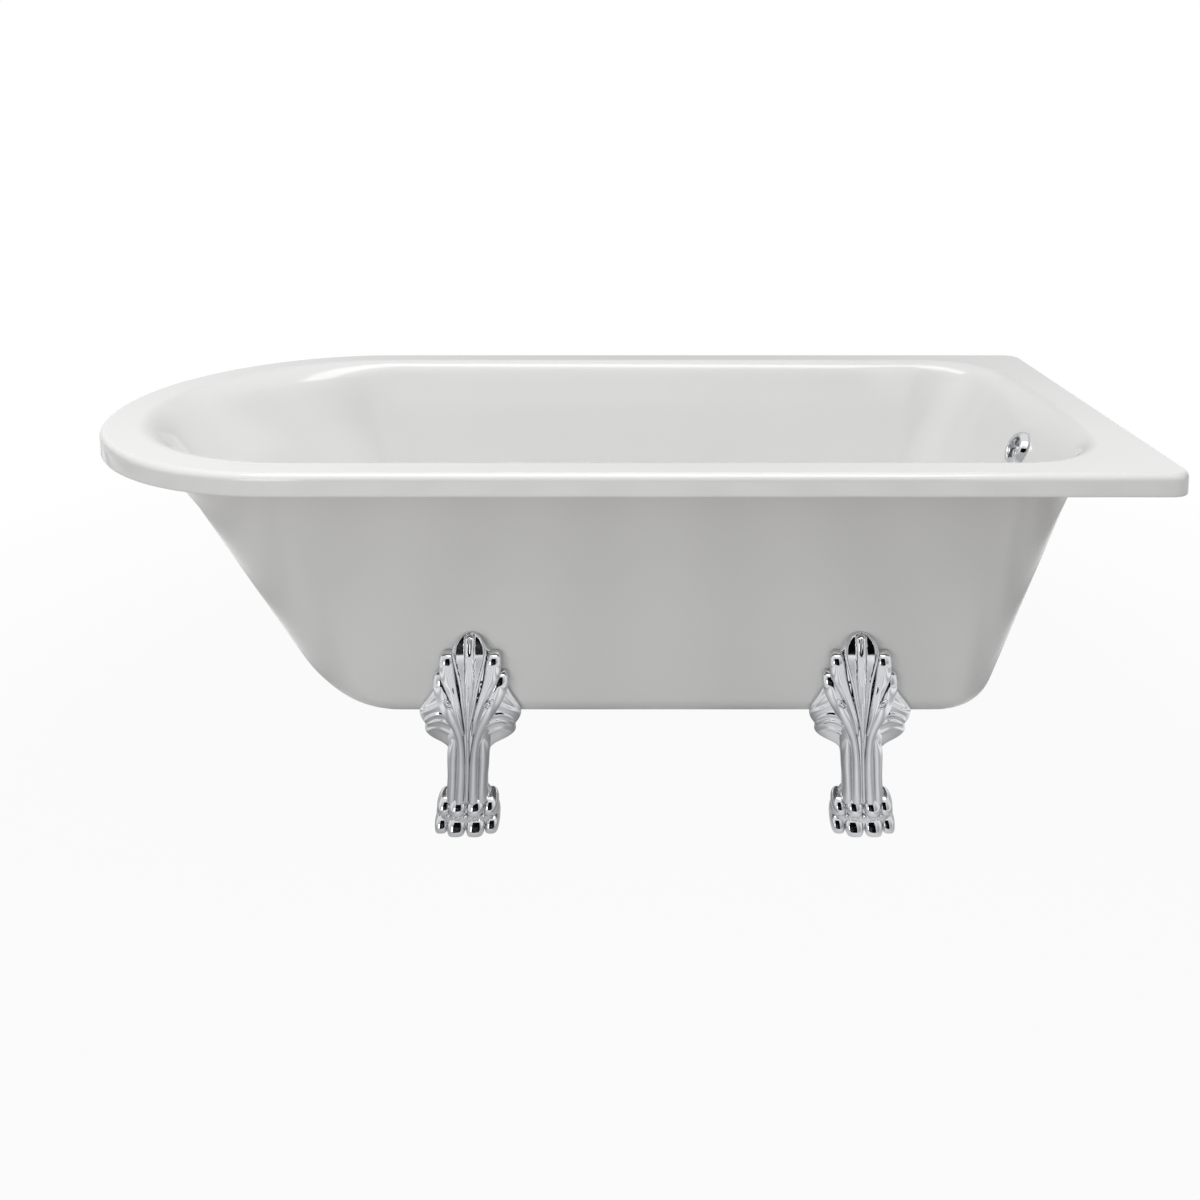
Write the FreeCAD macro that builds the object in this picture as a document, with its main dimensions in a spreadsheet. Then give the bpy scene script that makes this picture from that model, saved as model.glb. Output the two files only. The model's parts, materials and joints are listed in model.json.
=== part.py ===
import FreeCAD, Part
import math
import os
import Sketcher

# Single-ended acrylic bath on four cast claw feet. Millimetres, +Z up.
# X runs from the rounded head end (-X) to the square tap end (+X), and the front is -Y.
# The origin is on the floor, under the middle of the rim.

V = FreeCAD.Vector
UP = V(0, 0, 1)

SIZES = {
    # rim
    "tub_length": 1700, "tub_width": 780, "tub_height": 620,
    "rim_drop": 34, "rim_edge_round": 10, "rim_tap_corner": 32, "rim_head_corner": 384,
    "deck_thick": 5, "flange_thick": 5, "head_bow": 700,
    # well: insets from the outer edge of the rim and drops below its top
    "lip_reach": 20, "lip_drop": 30, "lip_head_corner": 325, "lip_tap_corner": 150,
    "deck_head": 80, "deck_tap": 80, "deck_side": 70,
    "waist_drop": 120, "waist_head": 195, "waist_tap": 136, "waist_side": 91,
    "waist_head_corner": 209, "waist_tap_corner": 125,
    "heel_drop": 310, "heel_head": 342, "heel_tap": 241, "heel_side": 123,
    "heel_head_corner": 130, "heel_tap_corner": 105,
    "well_depth": 393, "floor_reach": 60, "floor_head_corner": 78, "floor_tap_corner": 58,
    "well_tap_bow": 1800, "shell_thick": 4.5,
    # outer skin
    "skin_flange_inset": 14, "skin_flange_thick": 4, "skin_curl_drop": 15,
    "skin_curl_head": 64, "skin_curl_tap": 48, "skin_curl_side": 55, "skin_curl_reach": 9,
    "skin_top": 30, "skin_top_head": 82, "skin_top_tap": 64, "skin_top_side": 63,
    "skin_top_head_corner": 300, "skin_top_tap_corner": 145,
    "skin_waist_drop": 107, "skin_waist_head": 168, "skin_waist_tap": 96, "skin_waist_side": 73,
    "skin_waist_head_corner": 204, "skin_waist_tap_corner": 126,
    "skin_depth": 420, "skin_foot_head": 382, "skin_foot_tap": 213, "skin_foot_side": 104,
    "skin_foot_head_corner": 80, "skin_foot_tap_corner": 70,
    "skin_head_round": 75, "skin_tap_round": 40, "skin_side_round": 26,
    "skin_tap_bow": 820, "skin_thick": 4,
    # base board and rim battens
    "board_play": 4, "batten_inset": 10, "batten_wide": 30, "batten_high": 18, "batten_corner": 25,
    # feet
    "foot_gap": 593, "foot_head_reach": 652, "foot_spread": 480, "foot_splay": 18,
    "foot_rise": 340, "knee_rise": 237, "knee_proud": 36, "leaf_wide": 50, "leaf_play": 0.6,
    "shank_wide": 60, "shank_out": 44, "paw_wide": 90, "paw_deep": 80, "paw_high": 60, "paw_lift": 2,
    "wing_wide": 152, "saddle_wide": 120, "saddle_deep": 88, "saddle_thick": 12, "boss_deep": 40,
    "bolt_dia": 10, "bolt_play": 1, "bolt_flats": 17, "bolt_head_high": 6.4,
    "bolt_apart": 92, "bolt_back": 18, "bolt_bite": 14, "seat_play": 0.05,
    # levellers
    "stud_dia": 12, "stud_long": 38, "pad_flats": 30, "pad_high": 6.5, "pad_play": 0.3, "run_play": 0.05,
    # waste and plug
    "waste_from_tap": 395, "waste_hole": 52, "waste_flange_dia": 70, "waste_tube": 45, "waste_bore": 40,
    "waste_tail": 47.8, "waste_tail_bore": 38, "waste_drop": 80, "waste_chamber": 60, "waste_chamber_high": 54,
    "waste_socket": 32, "waste_flange_rise": 2, "waste_opening": 130,
    "spigot_dia": 15.9, "spigot_bore": 12, "spigot_long": 22, "spigot_level": 178,
    "waste_seal": 1.5, "waste_seal_low": 3, "seal_wide": 6,
    "plug_dia": 58, "plug_thick": 4, "plug_gap": 0.3, "stem_dia": 9, "stem_long": 40,
    "hub_dia": 18, "hub_high": 12, "arm_wide": 3,
    # overflow
    "overflow_drop": 86, "overflow_hole": 40, "overflow_base": 66, "overflow_front": 56,
    "overflow_proud": 12, "overflow_mouth": 40, "overflow_lift": 0.5, "overflow_bar": 7, "overflow_bar_thick": 2,
    "overflow_body_wide": 50, "overflow_body_deep": 19, "overflow_wall": 3, "overflow_seal": 1.5, "outlet_back": 10.5,
    "screw_dia": 5, "screw_head": 11, "screw_head_high": 3,
    "hose_dia": 20, "hose_wall": 2, "hose_lead": 60, "hose_elbow": 60, "hose_sweep": 300,
    "clip_wide": 8, "clip_thick": 1.2, "clip_screw": 7,
}

doc = FreeCAD.newDocument("bath")
sheet = doc.addObject("Spreadsheet::Sheet", "sizes")
for row, (alias, number) in enumerate(SIZES.items(), start=1):
    sheet.set(f"A{row}", alias)
    sheet.set(f"B{row}", str(number))
    sheet.setAlias(f"B{row}", alias)
doc.recompute()


class Size:
    """A number read from the sheet, with the expression that ties a feature to it."""

    def __init__(self, value, text):
        self.value = float(value)
        self.text = text

    def _join(self, other, sign, value):
        text = other.text if isinstance(other, Size) else repr(float(other))
        return Size(value, f"({self.text} {sign} {text})")

    def __add__(self, other):
        return self._join(other, "+", self.value + number_of(other))

    def __sub__(self, other):
        return self._join(other, "-", self.value - number_of(other))

    def __mul__(self, other):
        return self._join(other, "*", self.value * number_of(other))

    def __truediv__(self, other):
        return self._join(other, "/", self.value / number_of(other))

    def __neg__(self):
        return self * -1

    def above_zero(self):
        """This size, or zero where it would be negative."""
        return Size(max(self.value, 0.0), f"max({self.text}; 0)")

    def root(self):
        """The square root of this size."""
        return Size(math.sqrt(self.value), f"sqrt({self.text})")


def number_of(item):
    """The plain number in a Size or a number."""
    return item.value if isinstance(item, Size) else float(item)


def size(alias):
    """The named size, bound to its cell."""
    return Size(getattr(sheet, alias), f"sizes.{alias}")


def mm(alias):
    """The named size as a plain number."""
    return float(getattr(sheet, alias))


# ---------------------------------------------------------------- features


def new_body(name):
    body = doc.addObject("PartDesign::Body", name)
    body.Label = name
    return body


def plane_of(body, role):
    """One of the body's own origin planes or axes."""
    return next(item for item in body.Origin.OriginFeatures if item.Role == role)


def new_sketch(body, name, level=None, role="XY_Plane"):
    """An empty sketch on an origin plane of the body, lifted to a level."""
    sketch = body.newObject("Sketcher::SketchObject", name)
    sketch.AttachmentSupport = [(plane_of(body, role), "")]
    sketch.MapMode = "FlatFace"
    if level is not None:
        sketch.AttachmentOffset = FreeCAD.Placement(V(0, 0, level.value), FreeCAD.Rotation())
        sketch.setExpression("AttachmentOffset.Base.z", level.text)
    return sketch


def constrain(sketch, rules):
    """Add the rules; one that ends with a Size is bound to its cells."""
    for rule in rules:
        bound = rule[-1] if isinstance(rule[-1], Size) else None
        plain = rule[:-1] + (bound.value,) if bound else rule
        index = sketch.addConstraint(Sketcher.Constraint(*plain))
        if bound:
            sketch.setExpression(f"Constraints[{index}]", bound.text)


def arc(x, y, radius, start, end):
    """A circular arc in the sketch plane, from start to end in degrees."""
    circle = Part.Circle(V(x, y, 0), UP, radius)
    return Part.ArcOfCircle(circle, math.radians(start), math.radians(end))


def line(x0, y0, x1, y1):
    return Part.LineSegment(V(x0, y0, 0), V(x1, y1, 0))


def bowed_corner(half, corner, bow):
    """Run from the bow's centre to the corner's centre, and the angle where the two arcs meet."""
    run = math.sqrt((bow - corner) ** 2 - (half - corner) ** 2)
    return run, math.degrees(math.atan2(half - corner, run))


def bath_outline(body, name, level, head, tap, half, head_corner, tap_corner, tap_bow=None):
    """The plan of the bath at one level: a round head end, straight sides and a squarer tap end.

    head and tap are distances from the origin to the two ends on the centre line.
    """
    sketch = new_sketch(body, name, level)
    h, t, w, a, b = (item.value for item in (head, tap, half, head_corner, tap_corner))
    bow_h = mm("head_bow")
    run_h, turn_h = bowed_corner(w, a, bow_h)
    head_x = bow_h - h - run_h
    if tap_bow:
        run_t, turn_t = bowed_corner(w, b, tap_bow.value)
        tap_x = t - tap_bow.value + run_t
        end = arc(t - tap_bow.value, 0, tap_bow.value, -turn_t, turn_t)
    else:
        turn_t = 0.0
        tap_x = t - b
        end = line(t, b - w, t, w - b)
    sketch.addGeometry([
        line(head_x, -w, tap_x, -w),
        arc(tap_x, b - w, b, -90, -turn_t),
        end,
        arc(tap_x, w - b, b, turn_t, 90),
        line(tap_x, w, head_x, w),
        arc(head_x, w - a, a, 90, 180 - turn_h),
        arc(bow_h - h, 0, bow_h, 180 - turn_h, 180 + turn_h),
        arc(head_x, a - w, a, 180 + turn_h, 270),
    ], False)
    rules = [("Tangent", side, 2, (side + 1) % 8, 1) for side in range(8)]
    rules += [
        ("Horizontal", 0), ("Horizontal", 4),
        ("DistanceY", 0, 1, -1, 1, half), ("DistanceY", -1, 1, 4, 1, half),
        ("Radius", 1, tap_corner), ("Radius", 3, tap_corner),
        ("Radius", 5, head_corner), ("Radius", 7, head_corner),
        ("Radius", 6, size("head_bow")), ("PointOnObject", 6, 3, -1),
        ("DistanceX", -1, 1, 6, 3, size("head_bow") - head),
    ]
    if tap_bow:
        rules += [("Radius", 2, tap_bow), ("PointOnObject", 2, 3, -1),
                  ("DistanceX", 2, 3, -1, 1, tap_bow - tap)]
    else:
        rules += [("Vertical", 2), ("DistanceX", -1, 1, 2, 1, tap)]
    constrain(sketch, rules)
    return sketch


def plain_sketch(body, name, level, shapes, rules, role="XY_Plane"):
    """A sketch of the given geometry and rules."""
    sketch = new_sketch(body, name, level, role)
    sketch.addGeometry(shapes, False)
    constrain(sketch, rules)
    return sketch


def axis_rule(kind, side, point, place):
    """Hold one coordinate of a sketch point at a signed distance from the origin."""
    if place.value < 0:
        return (kind, side, point, -1, 1, -place)
    return (kind, -1, 1, side, point, place)


def circles_sketch(body, name, level, centres, dia):
    """Equal circles about points of the body's XY plane."""
    shapes = [Part.Circle(V(x.value, y.value, 0), UP, dia.value / 2) for x, y in centres]
    rules = []
    for i, (x, y) in enumerate(centres):
        rules += [("Diameter", i, dia), axis_rule("DistanceX", i, 3, x), axis_rule("DistanceY", i, 3, y)]
    return plain_sketch(body, name, level, shapes, rules)


def loft(body, name, kind, sketches):
    feature = body.newObject(f"PartDesign::{kind}Loft", name)
    feature.Profile = sketches[0]
    feature.Sections = sketches[1:]
    feature.Ruled = True
    return feature


def pad(body, name, sketch, length, kind="Pad", reverse=False):
    """A pad or pocket of the sketch; a pocket must take something away."""
    doc.recompute()
    before = body.Shape.Volume if body.Shape.Solids else 0.0
    feature = body.newObject(f"PartDesign::{kind}", name)
    feature.Profile = sketch
    feature.Length = length.value
    feature.setExpression("Length", length.text)
    feature.Reversed = reverse
    doc.recompute()
    if kind == "Pocket" and not body.Shape.Volume < before - 1:
        raise ValueError(f"{name} cuts nothing")
    return feature


def turned(name, points):
    """A body turned about Z from a closed outline of (radius, height) points."""
    body = new_body(name)
    corners = [(radius.value, height.value) for radius, height in points]
    count = len(corners)
    shapes = [line(*corners[i], *corners[(i + 1) % count]) for i in range(count)]
    rules = [("Coincident", i, 2, (i + 1) % count, 1) for i in range(count)]
    for i, (radius, height) in enumerate(points):
        rules += [axis_rule("DistanceX", i, 1, radius), axis_rule("DistanceY", i, 1, height)]
    sketch = plain_sketch(body, name + "_outline", None, shapes, rules, "XZ_Plane")
    feature = body.newObject("PartDesign::Revolution", name + "_turn")
    feature.Profile = sketch
    feature.ReferenceAxis = (sketch, ["V_Axis"])
    feature.Angle = 360
    return body


def put(item, x, y, z):
    """Tie an object's position to three sizes."""
    item.Placement = FreeCAD.Placement(V(x.value, y.value, z.value), item.Placement.Rotation)
    for letter, place in zip("xyz", (x, y, z)):
        item.setExpression(f"Placement.Base.{letter}", place.text)
    return item


def primitive(kind, name, where, **dims):
    """A Part primitive with its dimensions and position tied to sizes."""
    item = doc.addObject(f"Part::{kind}", name)
    for key, value in dims.items():
        setattr(item, key, value.value)
        item.setExpression(key, value.text)
    return put(item, *where)


def cylinder(name, where, dia, high):
    return primitive("Cylinder", name, where, Radius=dia / 2, Height=high)


def hexagon(name, where, flats, high):
    item = primitive("Prism", name, where, Circumradius=flats / math.sqrt(3), Height=high)
    item.Polygon = 6
    return item


def cut(name, base, tool):
    item = doc.addObject("Part::Cut", name)
    item.Base = base
    item.Tool = tool
    return item


def joined(name, pieces, kind="MultiFuse"):
    """A fusion of the pieces, or with Compound one node of separate solids."""
    item = doc.addObject(f"Part::{kind}", name)
    item.Label = name
    if kind == "MultiFuse":
        item.Shapes = pieces
    else:
        item.Links = pieces
    return item


# ---------------------------------------------------------------- stations of the well and the skin

SIDES = ("head", "tap", "side")
ENDS = ("head", "tap")
ZERO = Size(0, "0")
ONE = Size(1, "1")


def blend(first, last, share):
    """The size a share of the way between two others."""
    return first + (last - first) * share


def bezier(first, control, last, t):
    """A point of the quadratic curve, as a Size."""
    return first * ((1 - t) ** 2) + control * (2 * t * (1 - t)) + last * (t * t)


class Station:
    """One level of a shell: drop below the rim, three insets and two corner radii.

    plan_share and drop_share say how the wall's thickness is laid off there.
    """

    def __init__(self, drop, insets, corners, plan_share=1.0, drop_share=0.0):
        self.drop = drop
        self.insets = insets
        self.corners = corners
        self.plan_share = plan_share
        self.drop_share = drop_share

    def level(self):
        return size("tub_height") - self.drop

    def plan(self, grow=ZERO):
        """Distances of the two ends and the sides from the origin, then the two corner radii."""
        half = {"head": size("tub_length") / 2, "tap": size("tub_length") / 2, "side": size("tub_width") / 2}
        return [half[s] - inset + grow for s, inset in zip(SIDES, self.insets)] + [
            corner + grow for corner in self.corners]

    def sketch(self, body, name, tap_bow=None, thick=ZERO):
        """The outline here, moved outward by the wall's thickness."""
        return bath_outline(body, name, self.level() - thick * self.drop_share,
                            *self.plan(thick * self.plan_share), tap_bow)


def ring_stations():
    """The rim's outer face: a straight flange, then the rounded top edge."""
    radius = size("rim_edge_round")
    corners = [size("rim_head_corner"), size("rim_tap_corner")]
    stations = [Station(size("rim_drop"), [ZERO] * 3, corners)]
    for turn in (0, 45, 90):
        inset = radius * (1 - math.cos(math.radians(turn)))
        drop = radius * (1 - math.sin(math.radians(turn)))
        stations.append(Station(drop, [inset] * 3, [corner - inset for corner in corners]))
    return stations


def well_stations():
    """The inner face from the deck to the floor: lip curve, wall, heel curve."""
    stations = []
    for t in (0.0, 0.35, 0.7, 1.0):
        insets = []
        for s in SIDES:
            deck = size(f"deck_{s}")
            slope = (size(f"waist_{s}") - deck) / size("waist_drop")
            insets.append(bezier(deck - size("lip_reach"), deck, deck + slope * size("lip_drop"), t))
        corners = [size(f"lip_{s}_corner") - size("lip_reach") * t for s in ENDS]
        turn = math.radians(90 * t)
        stations.append(Station(size("lip_drop") * (t * t), insets, corners, math.sin(turn), math.cos(turn)))
    waist, heel, fall = size("waist_drop"), size("heel_drop"), size("heel_drop") - size("waist_drop")
    lip = stations[-1]
    middle = [(a + b) / 2 for a, b in zip(lip.insets, [size(f"waist_{s}") for s in SIDES])]
    turn = [(a + size(f"waist_{s}_corner")) / 2 for a, s in zip(lip.corners, ENDS)]
    stations.append(Station((lip.drop + waist) / 2, middle, turn))
    for share in range(5):
        t = share / 4
        insets = [blend(size(f"waist_{s}"), size(f"heel_{s}"), t) for s in SIDES]
        corners = [blend(size(f"waist_{s}_corner"), size(f"heel_{s}_corner"), t) for s in ENDS]
        stations.append(Station(blend(waist, heel, t), insets, corners))
    for t in (0.33, 0.67, 1.0):
        insets = []
        for s in SIDES:
            slope = (size(f"heel_{s}") - size(f"waist_{s}")) / fall
            control = size(f"heel_{s}") + slope * (size("well_depth") - heel)
            insets.append(bezier(size(f"heel_{s}"), control, control + size("floor_reach"), t))
        corners = [blend(size(f"heel_{s}_corner"), size(f"floor_{s}_corner"), t) for s in ENDS]
        turn = math.radians(90 * t)
        drop = bezier(heel, size("well_depth"), size("well_depth"), t)
        stations.append(Station(drop, insets, corners, math.cos(turn), math.sin(turn)))
    return stations


def skin_stations(thick):
    """The skin from under the deck to the underside, moved inward by a thickness."""
    stations = []
    deck = size("deck_thick") + size("skin_flange_thick") / 2
    top_corners = [size(f"skin_top_{s}_corner") for s in ENDS]
    curls = ((deck, size("skin_curl_reach")), (size("skin_curl_drop"), ZERO))
    for drop, reach in curls:
        insets = [size(f"skin_curl_{s}") - reach + thick for s in SIDES]
        stations.append(Station(drop, insets, [corner + reach - thick for corner in top_corners]))
    insets = [size(f"skin_top_{s}") + thick for s in SIDES]
    stations.append(Station(size("skin_top"), insets, [corner - thick for corner in top_corners]))
    depth = size("skin_depth") - thick
    bend = depth - size("skin_head_round") + thick
    drops = [blend(size("skin_waist_drop"), bend, share / 5) for share in range(5)]
    drops += [depth - (size("skin_head_round") - thick) * share for share in (1.0, 0.55, 0.2, 0.0)]
    for drop in drops:
        share = (drop - size("skin_waist_drop")) / (size("skin_depth") - size("skin_waist_drop"))
        insets = []
        for s in SIDES:
            wall = size(f"skin_waist_{s}") + (size(f"skin_foot_{s}") - size(f"skin_waist_{s}")) * share
            radius = size(f"skin_{s}_round") - thick
            reach = ((drop - depth + radius) / radius).above_zero()
            curve = ONE - (ONE - reach * reach).above_zero().root()
            insets.append(wall + thick + radius * 0.8 * curve)
        corners = [size(f"skin_waist_{s}_corner")
                   + (size(f"skin_foot_{s}_corner") - size(f"skin_waist_{s}_corner")) * share - thick
                   for s in ENDS]
        stations.append(Station(drop, insets, corners))
    top, waist = stations[2], stations[3]
    middle = [(a + b) / 2 for a, b in zip(top.insets, waist.insets)]
    turn = [(a + b) / 2 for a, b in zip(top.corners, waist.corners)]
    stations.insert(3, Station((top.drop + waist.drop) / 2, middle, turn))
    return stations


def station_loft(body, name, kind, stations, tap_bow=None, thick=ZERO):
    sketches = [item.sketch(body, f"{name}_{i}", tap_bow, thick) for i, item in enumerate(stations)]
    doc.recompute()
    feature = loft(body, name, kind, sketches)
    doc.recompute()
    return feature


# ---------------------------------------------------------------- tub, skin, board, battens


def waste_x():
    return size("tub_length") / 2 - size("waste_from_tap")


def floor_under():
    return size("tub_height") - size("well_depth") - size("shell_thick")


def make_inner_tub():
    """Rolled rim, deck and well, thermoformed in one."""
    body = new_body("inner_tub")
    rim = ring_stations()
    station_loft(body, "rim_block", "Additive", rim)
    inner = Station(size("rim_drop"), rim[0].insets, rim[0].corners).sketch(
        body, "channel_plan", None, -size("flange_thick"))
    pad(body, "rim_channel", inner, size("rim_drop") - size("deck_thick"), "Pocket", True)
    stations = well_stations()
    bow = size("well_tap_bow")
    station_loft(body, "well_outside", "Additive", stations, bow, size("shell_thick"))
    station_loft(body, "well_inside", "Subtractive", stations, bow)
    floor = size("tub_height") - size("well_depth")
    hole = circles_sketch(body, "waste_hole_plan", floor, [(waste_x(), ZERO)], size("waste_hole"))
    pad(body, "waste_hole_cut", hole, size("shell_thick") * 2, "Pocket")
    bore = body.newObject("PartDesign::SubtractiveCylinder", "overflow_hole_cut")
    bore.Radius = mm("overflow_hole") / 2
    bore.setExpression("Radius", "sizes.overflow_hole / 2")
    bore.Height = mm("shell_thick") * 4
    bore.setExpression("Height", "sizes.shell_thick * 4")
    at_overflow(bore, -size("shell_thick") * 2)
    return body


def overflow_slope():
    return (size("waist_tap") - size("deck_tap")) / size("waist_drop")


def overflow_point(along, out):
    """Global x and z of a point given along the tap-end wall (up) and out of it into the well."""
    slope = overflow_slope()
    cosine = ONE / (ONE + slope * slope).root()
    sine = slope * cosine
    x = size("tub_length") / 2 - size("deck_tap") - slope * size("overflow_drop") + sine * along - cosine * out
    z = size("tub_height") - size("overflow_drop") + cosine * along + sine * out
    return x, z


def at_overflow(item, out=ZERO):
    """Stand an item's own Z axis at right angles to the tap-end wall, at the overflow."""
    x, z = overflow_point(ZERO, out)
    tilt = math.degrees(math.atan(overflow_slope().value))
    item.Placement = FreeCAD.Placement(V(x.value, 0, z.value), FreeCAD.Rotation(V(0, -1, 0), 90 - tilt))
    item.setExpression("Placement.Base.x", x.text)
    item.setExpression("Placement.Base.z", z.text)
    item.setExpression("Placement.Rotation.Angle", f"90 deg - atan({overflow_slope().text})")
    return item


def foot_xs():
    head = size("foot_head_reach") - size("tub_length") / 2
    return head, head + size("foot_gap")


def bolt_points():
    """Centres of the eight bolts that hold the feet."""
    out = size("foot_spread") / 2 - size("bolt_back")
    return [(x + size("bolt_apart") * (side / 2), out * face)
            for face in (-1, 1) for x in foot_xs() for side in (-1, 1)]


def slot_sketch(body, name, level):
    """The opening that clears the waste and the foot of the overflow hose."""
    left = waste_x()
    radius = size("waste_opening") / 2
    right = hose_corner()[0] + size("hose_dia") * 2 - radius
    r, a, b = radius.value, left.value, right.value
    shapes = [arc(a, 0, r, 90, 270), line(a, -r, b, -r), arc(b, 0, r, -90, 90), line(b, r, a, r)]
    rules = [("Tangent", i, 2, (i + 1) % 4, 1) for i in range(4)]
    rules += [("Horizontal", 1), ("Radius", 0, radius), ("PointOnObject", 0, 3, -1),
              axis_rule("DistanceX", 0, 3, left), axis_rule("DistanceX", 2, 3, right)]
    return plain_sketch(body, name, level, shapes, rules)


def rectangle(sketch, x, y, wide, high):
    """Add a rectangle about a point to the sketch."""
    near, far = x - wide / 2, x + wide / 2
    low, top = y - high / 2, y + high / 2
    a, b, c, d = near.value, low.value, far.value, top.value
    k = sketch.GeometryCount
    sketch.addGeometry([line(a, b, c, b), line(c, b, c, d), line(c, d, a, d), line(a, d, a, b)], False)
    rules = [("Coincident", k + i, 2, k + (i + 1) % 4, 1) for i in range(4)]
    rules += [("Horizontal", k), ("Horizontal", k + 2), ("Vertical", k + 1), ("Vertical", k + 3)]
    for side, across, up in ((k, near, low), (k + 2, far, top)):
        rules += [axis_rule("DistanceX", side, 1, across), axis_rule("DistanceY", side, 1, up)]
    constrain(sketch, rules)


def make_outer_skin():
    """The outer shell, bonded under the deck by its turned-out flange."""
    body = new_body("outer_skin")
    top = size("tub_height") - size("deck_thick")
    thick = size("skin_flange_thick")
    inset = size("skin_flange_inset")
    rim = ring_stations()[0]
    flange = Station(size("deck_thick") + thick, [inset] * 3, [corner - inset for corner in rim.corners])
    pad(body, "skin_flange", flange.sketch(body, "skin_flange_plan"), thick)
    bow = size("skin_tap_bow")
    station_loft(body, "skin_outside", "Additive", skin_stations(ZERO), bow)
    inside = skin_stations(size("skin_thick"))
    mouth = inside[0]
    pocket = Station(size("deck_thick"), mouth.insets, mouth.corners).sketch(body, "skin_mouth_plan", bow)
    pad(body, "skin_mouth", pocket, thick / 2, "Pocket")
    station_loft(body, "skin_inside", "Subtractive", inside, bow)
    bottom = size("tub_height") - size("skin_depth")
    pad(body, "skin_opening", slot_sketch(body, "skin_opening_plan", bottom), size("skin_thick") * 2, "Pocket", True)
    windows = new_sketch(body, "foot_window_plan", bottom)
    out = size("foot_spread") / 2 - size("bolt_back")
    for face in (-1, 1):
        for x in foot_xs():
            rectangle(windows, x, out * face, size("saddle_wide") + size("leaf_play") * 2, size("boss_deep") + size("leaf_play") * 2)
    pad(body, "foot_windows", windows, size("skin_thick") * 2, "Pocket", True)
    return body


def make_base_board():
    """The board bonded under the well's floor that takes the feet."""
    body = new_body("base_board")
    last = skin_stations(size("skin_thick"))[-1]
    plan = last.sketch(body, "board_plan", size("skin_tap_bow"), -size("board_play"))
    high = floor_under() - last.level()
    pad(body, "board", plan, high)
    level = last.level()
    pad(body, "board_opening", slot_sketch(body, "board_opening_plan", level), high, "Pocket", True)
    holes = circles_sketch(body, "board_bolt_plan", level, bolt_points(), size("bolt_dia") + size("seat_play") * 2)
    pad(body, "board_bolt_holes", holes, size("bolt_bite") + 1, "Pocket", True)
    return body


def make_rim_battens():
    """The frame of battens that stiffens the rim from below."""
    body = new_body("rim_battens")
    drop = size("deck_thick") + size("skin_flange_thick") + size("batten_high")
    rim = ring_stations()[0]
    station = Station(drop, rim.insets, rim.corners)
    inset = size("batten_inset")
    pad(body, "battens", station.sketch(body, "batten_plan", None, -inset), size("batten_high"))
    reach = inset + size("batten_wide")
    inner = Station(drop, [reach] * 3, [rim.corners[0] - reach, size("batten_corner")]).sketch(
        body, "batten_opening_plan")
    pad(body, "batten_opening", inner, size("batten_high"), "Pocket", True)
    return body


# ---------------------------------------------------------------- claw feet


def polyhedron(rings):
    """A closed solid of flat triangles over rings of equal point counts."""
    faces = []
    count = len(rings[0])

    def face(a, b, c):
        if (b - a).cross(c - a).Length > 1e-6:
            faces.append(Part.Face(Part.makePolygon([a, b, c, a])))

    for low, high in zip(rings, rings[1:]):
        for i in range(count):
            j = (i + 1) % count
            face(low[i], low[j], high[j])
            face(low[i], high[j], high[i])
    for ring in (rings[0], rings[-1]):
        for i in range(1, count - 1):
            face(ring[0], ring[i], ring[i + 1])
    solid = Part.Solid(Part.Shell(faces))
    if solid.Volume < 0:
        solid.reverse()
    return solid


ACROSS = V(1, 0, 0)
OUT = V(0, 1, 0)


def oval(centre, across, along, half_wide, half_deep, count, square=1.0, turn=0.5):
    """A ring of points about a centre; square under 1 gives fuller corners."""
    ring = []
    for i in range(count):
        angle = 2 * math.pi * (i + turn) / count
        cosine, sine = math.cos(angle), math.sin(angle)
        u = math.copysign(abs(cosine) ** square, cosine) * half_wide
        v = math.copysign(abs(sine) ** square, sine) * half_deep
        ring.append(centre + across * u + along * v)
    return ring


def skin_half(level):
    """Half width of the skin's straight side wall at a level."""
    below = mm("tub_height") - level - mm("skin_waist_drop")
    share = below / (mm("skin_depth") - mm("skin_waist_drop"))
    inset = mm("skin_waist_side") + (mm("skin_foot_side") - mm("skin_waist_side")) * share
    return mm("tub_width") / 2 - inset


def splay(level):
    """How far the leg leans away from its leaf tip at a level."""
    return mm("foot_splay") * (1 - level / mm("foot_rise"))


def column(levels, count, flute=0.0):
    """The shank and paw: rings of (level, half width, back, front), fluted in front."""
    rings = []
    for level, half, back, front in levels:
        middle = V(splay(level), (back + front) / 2, level)
        ring = oval(middle, ACROSS, OUT, half, (front - back) / 2, count, 0.8, 0)
        if flute:
            ring = [point - OUT * (flute if i % 2 and point.y > middle.y else 0) for i, point in enumerate(ring)]
        rings.append(ring)
    return polyhedron(rings)


def petal(root, tip, wide, deep):
    """One leaf lobe laid against the skin from root to tip, both (across, level)."""
    start, end = (V(u, skin_half(max(z, mm("knee_rise"))) + mm("leaf_play") + deep * 0.4, z) for u, z in (root, tip))
    along = end - start
    side = along.cross(OUT).normalize()
    rings = []
    for share, girth in ((0.0, 0.55), (0.55, 1.0), (0.85, 0.72), (1.0, 0.25)):
        rings.append(oval(start + along * share, side, OUT, wide / 2 * girth, deep / 2 * girth, 6, 1.0, 0))
    return polyhedron(rings)


def toe(across, out, low, high, half, reach):
    """One rounded toe or knuckle standing out of the paw's front."""
    rings = []
    for share, girth in ((0.0, 0.7), (0.45, 1.0), (1.0, 0.5)):
        centre = V(across, out, low + (high - low) * share)
        rings.append(oval(centre, ACROSS, OUT, half * girth, reach * girth, 6, 0.8))
    return polyhedron(rings)


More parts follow.
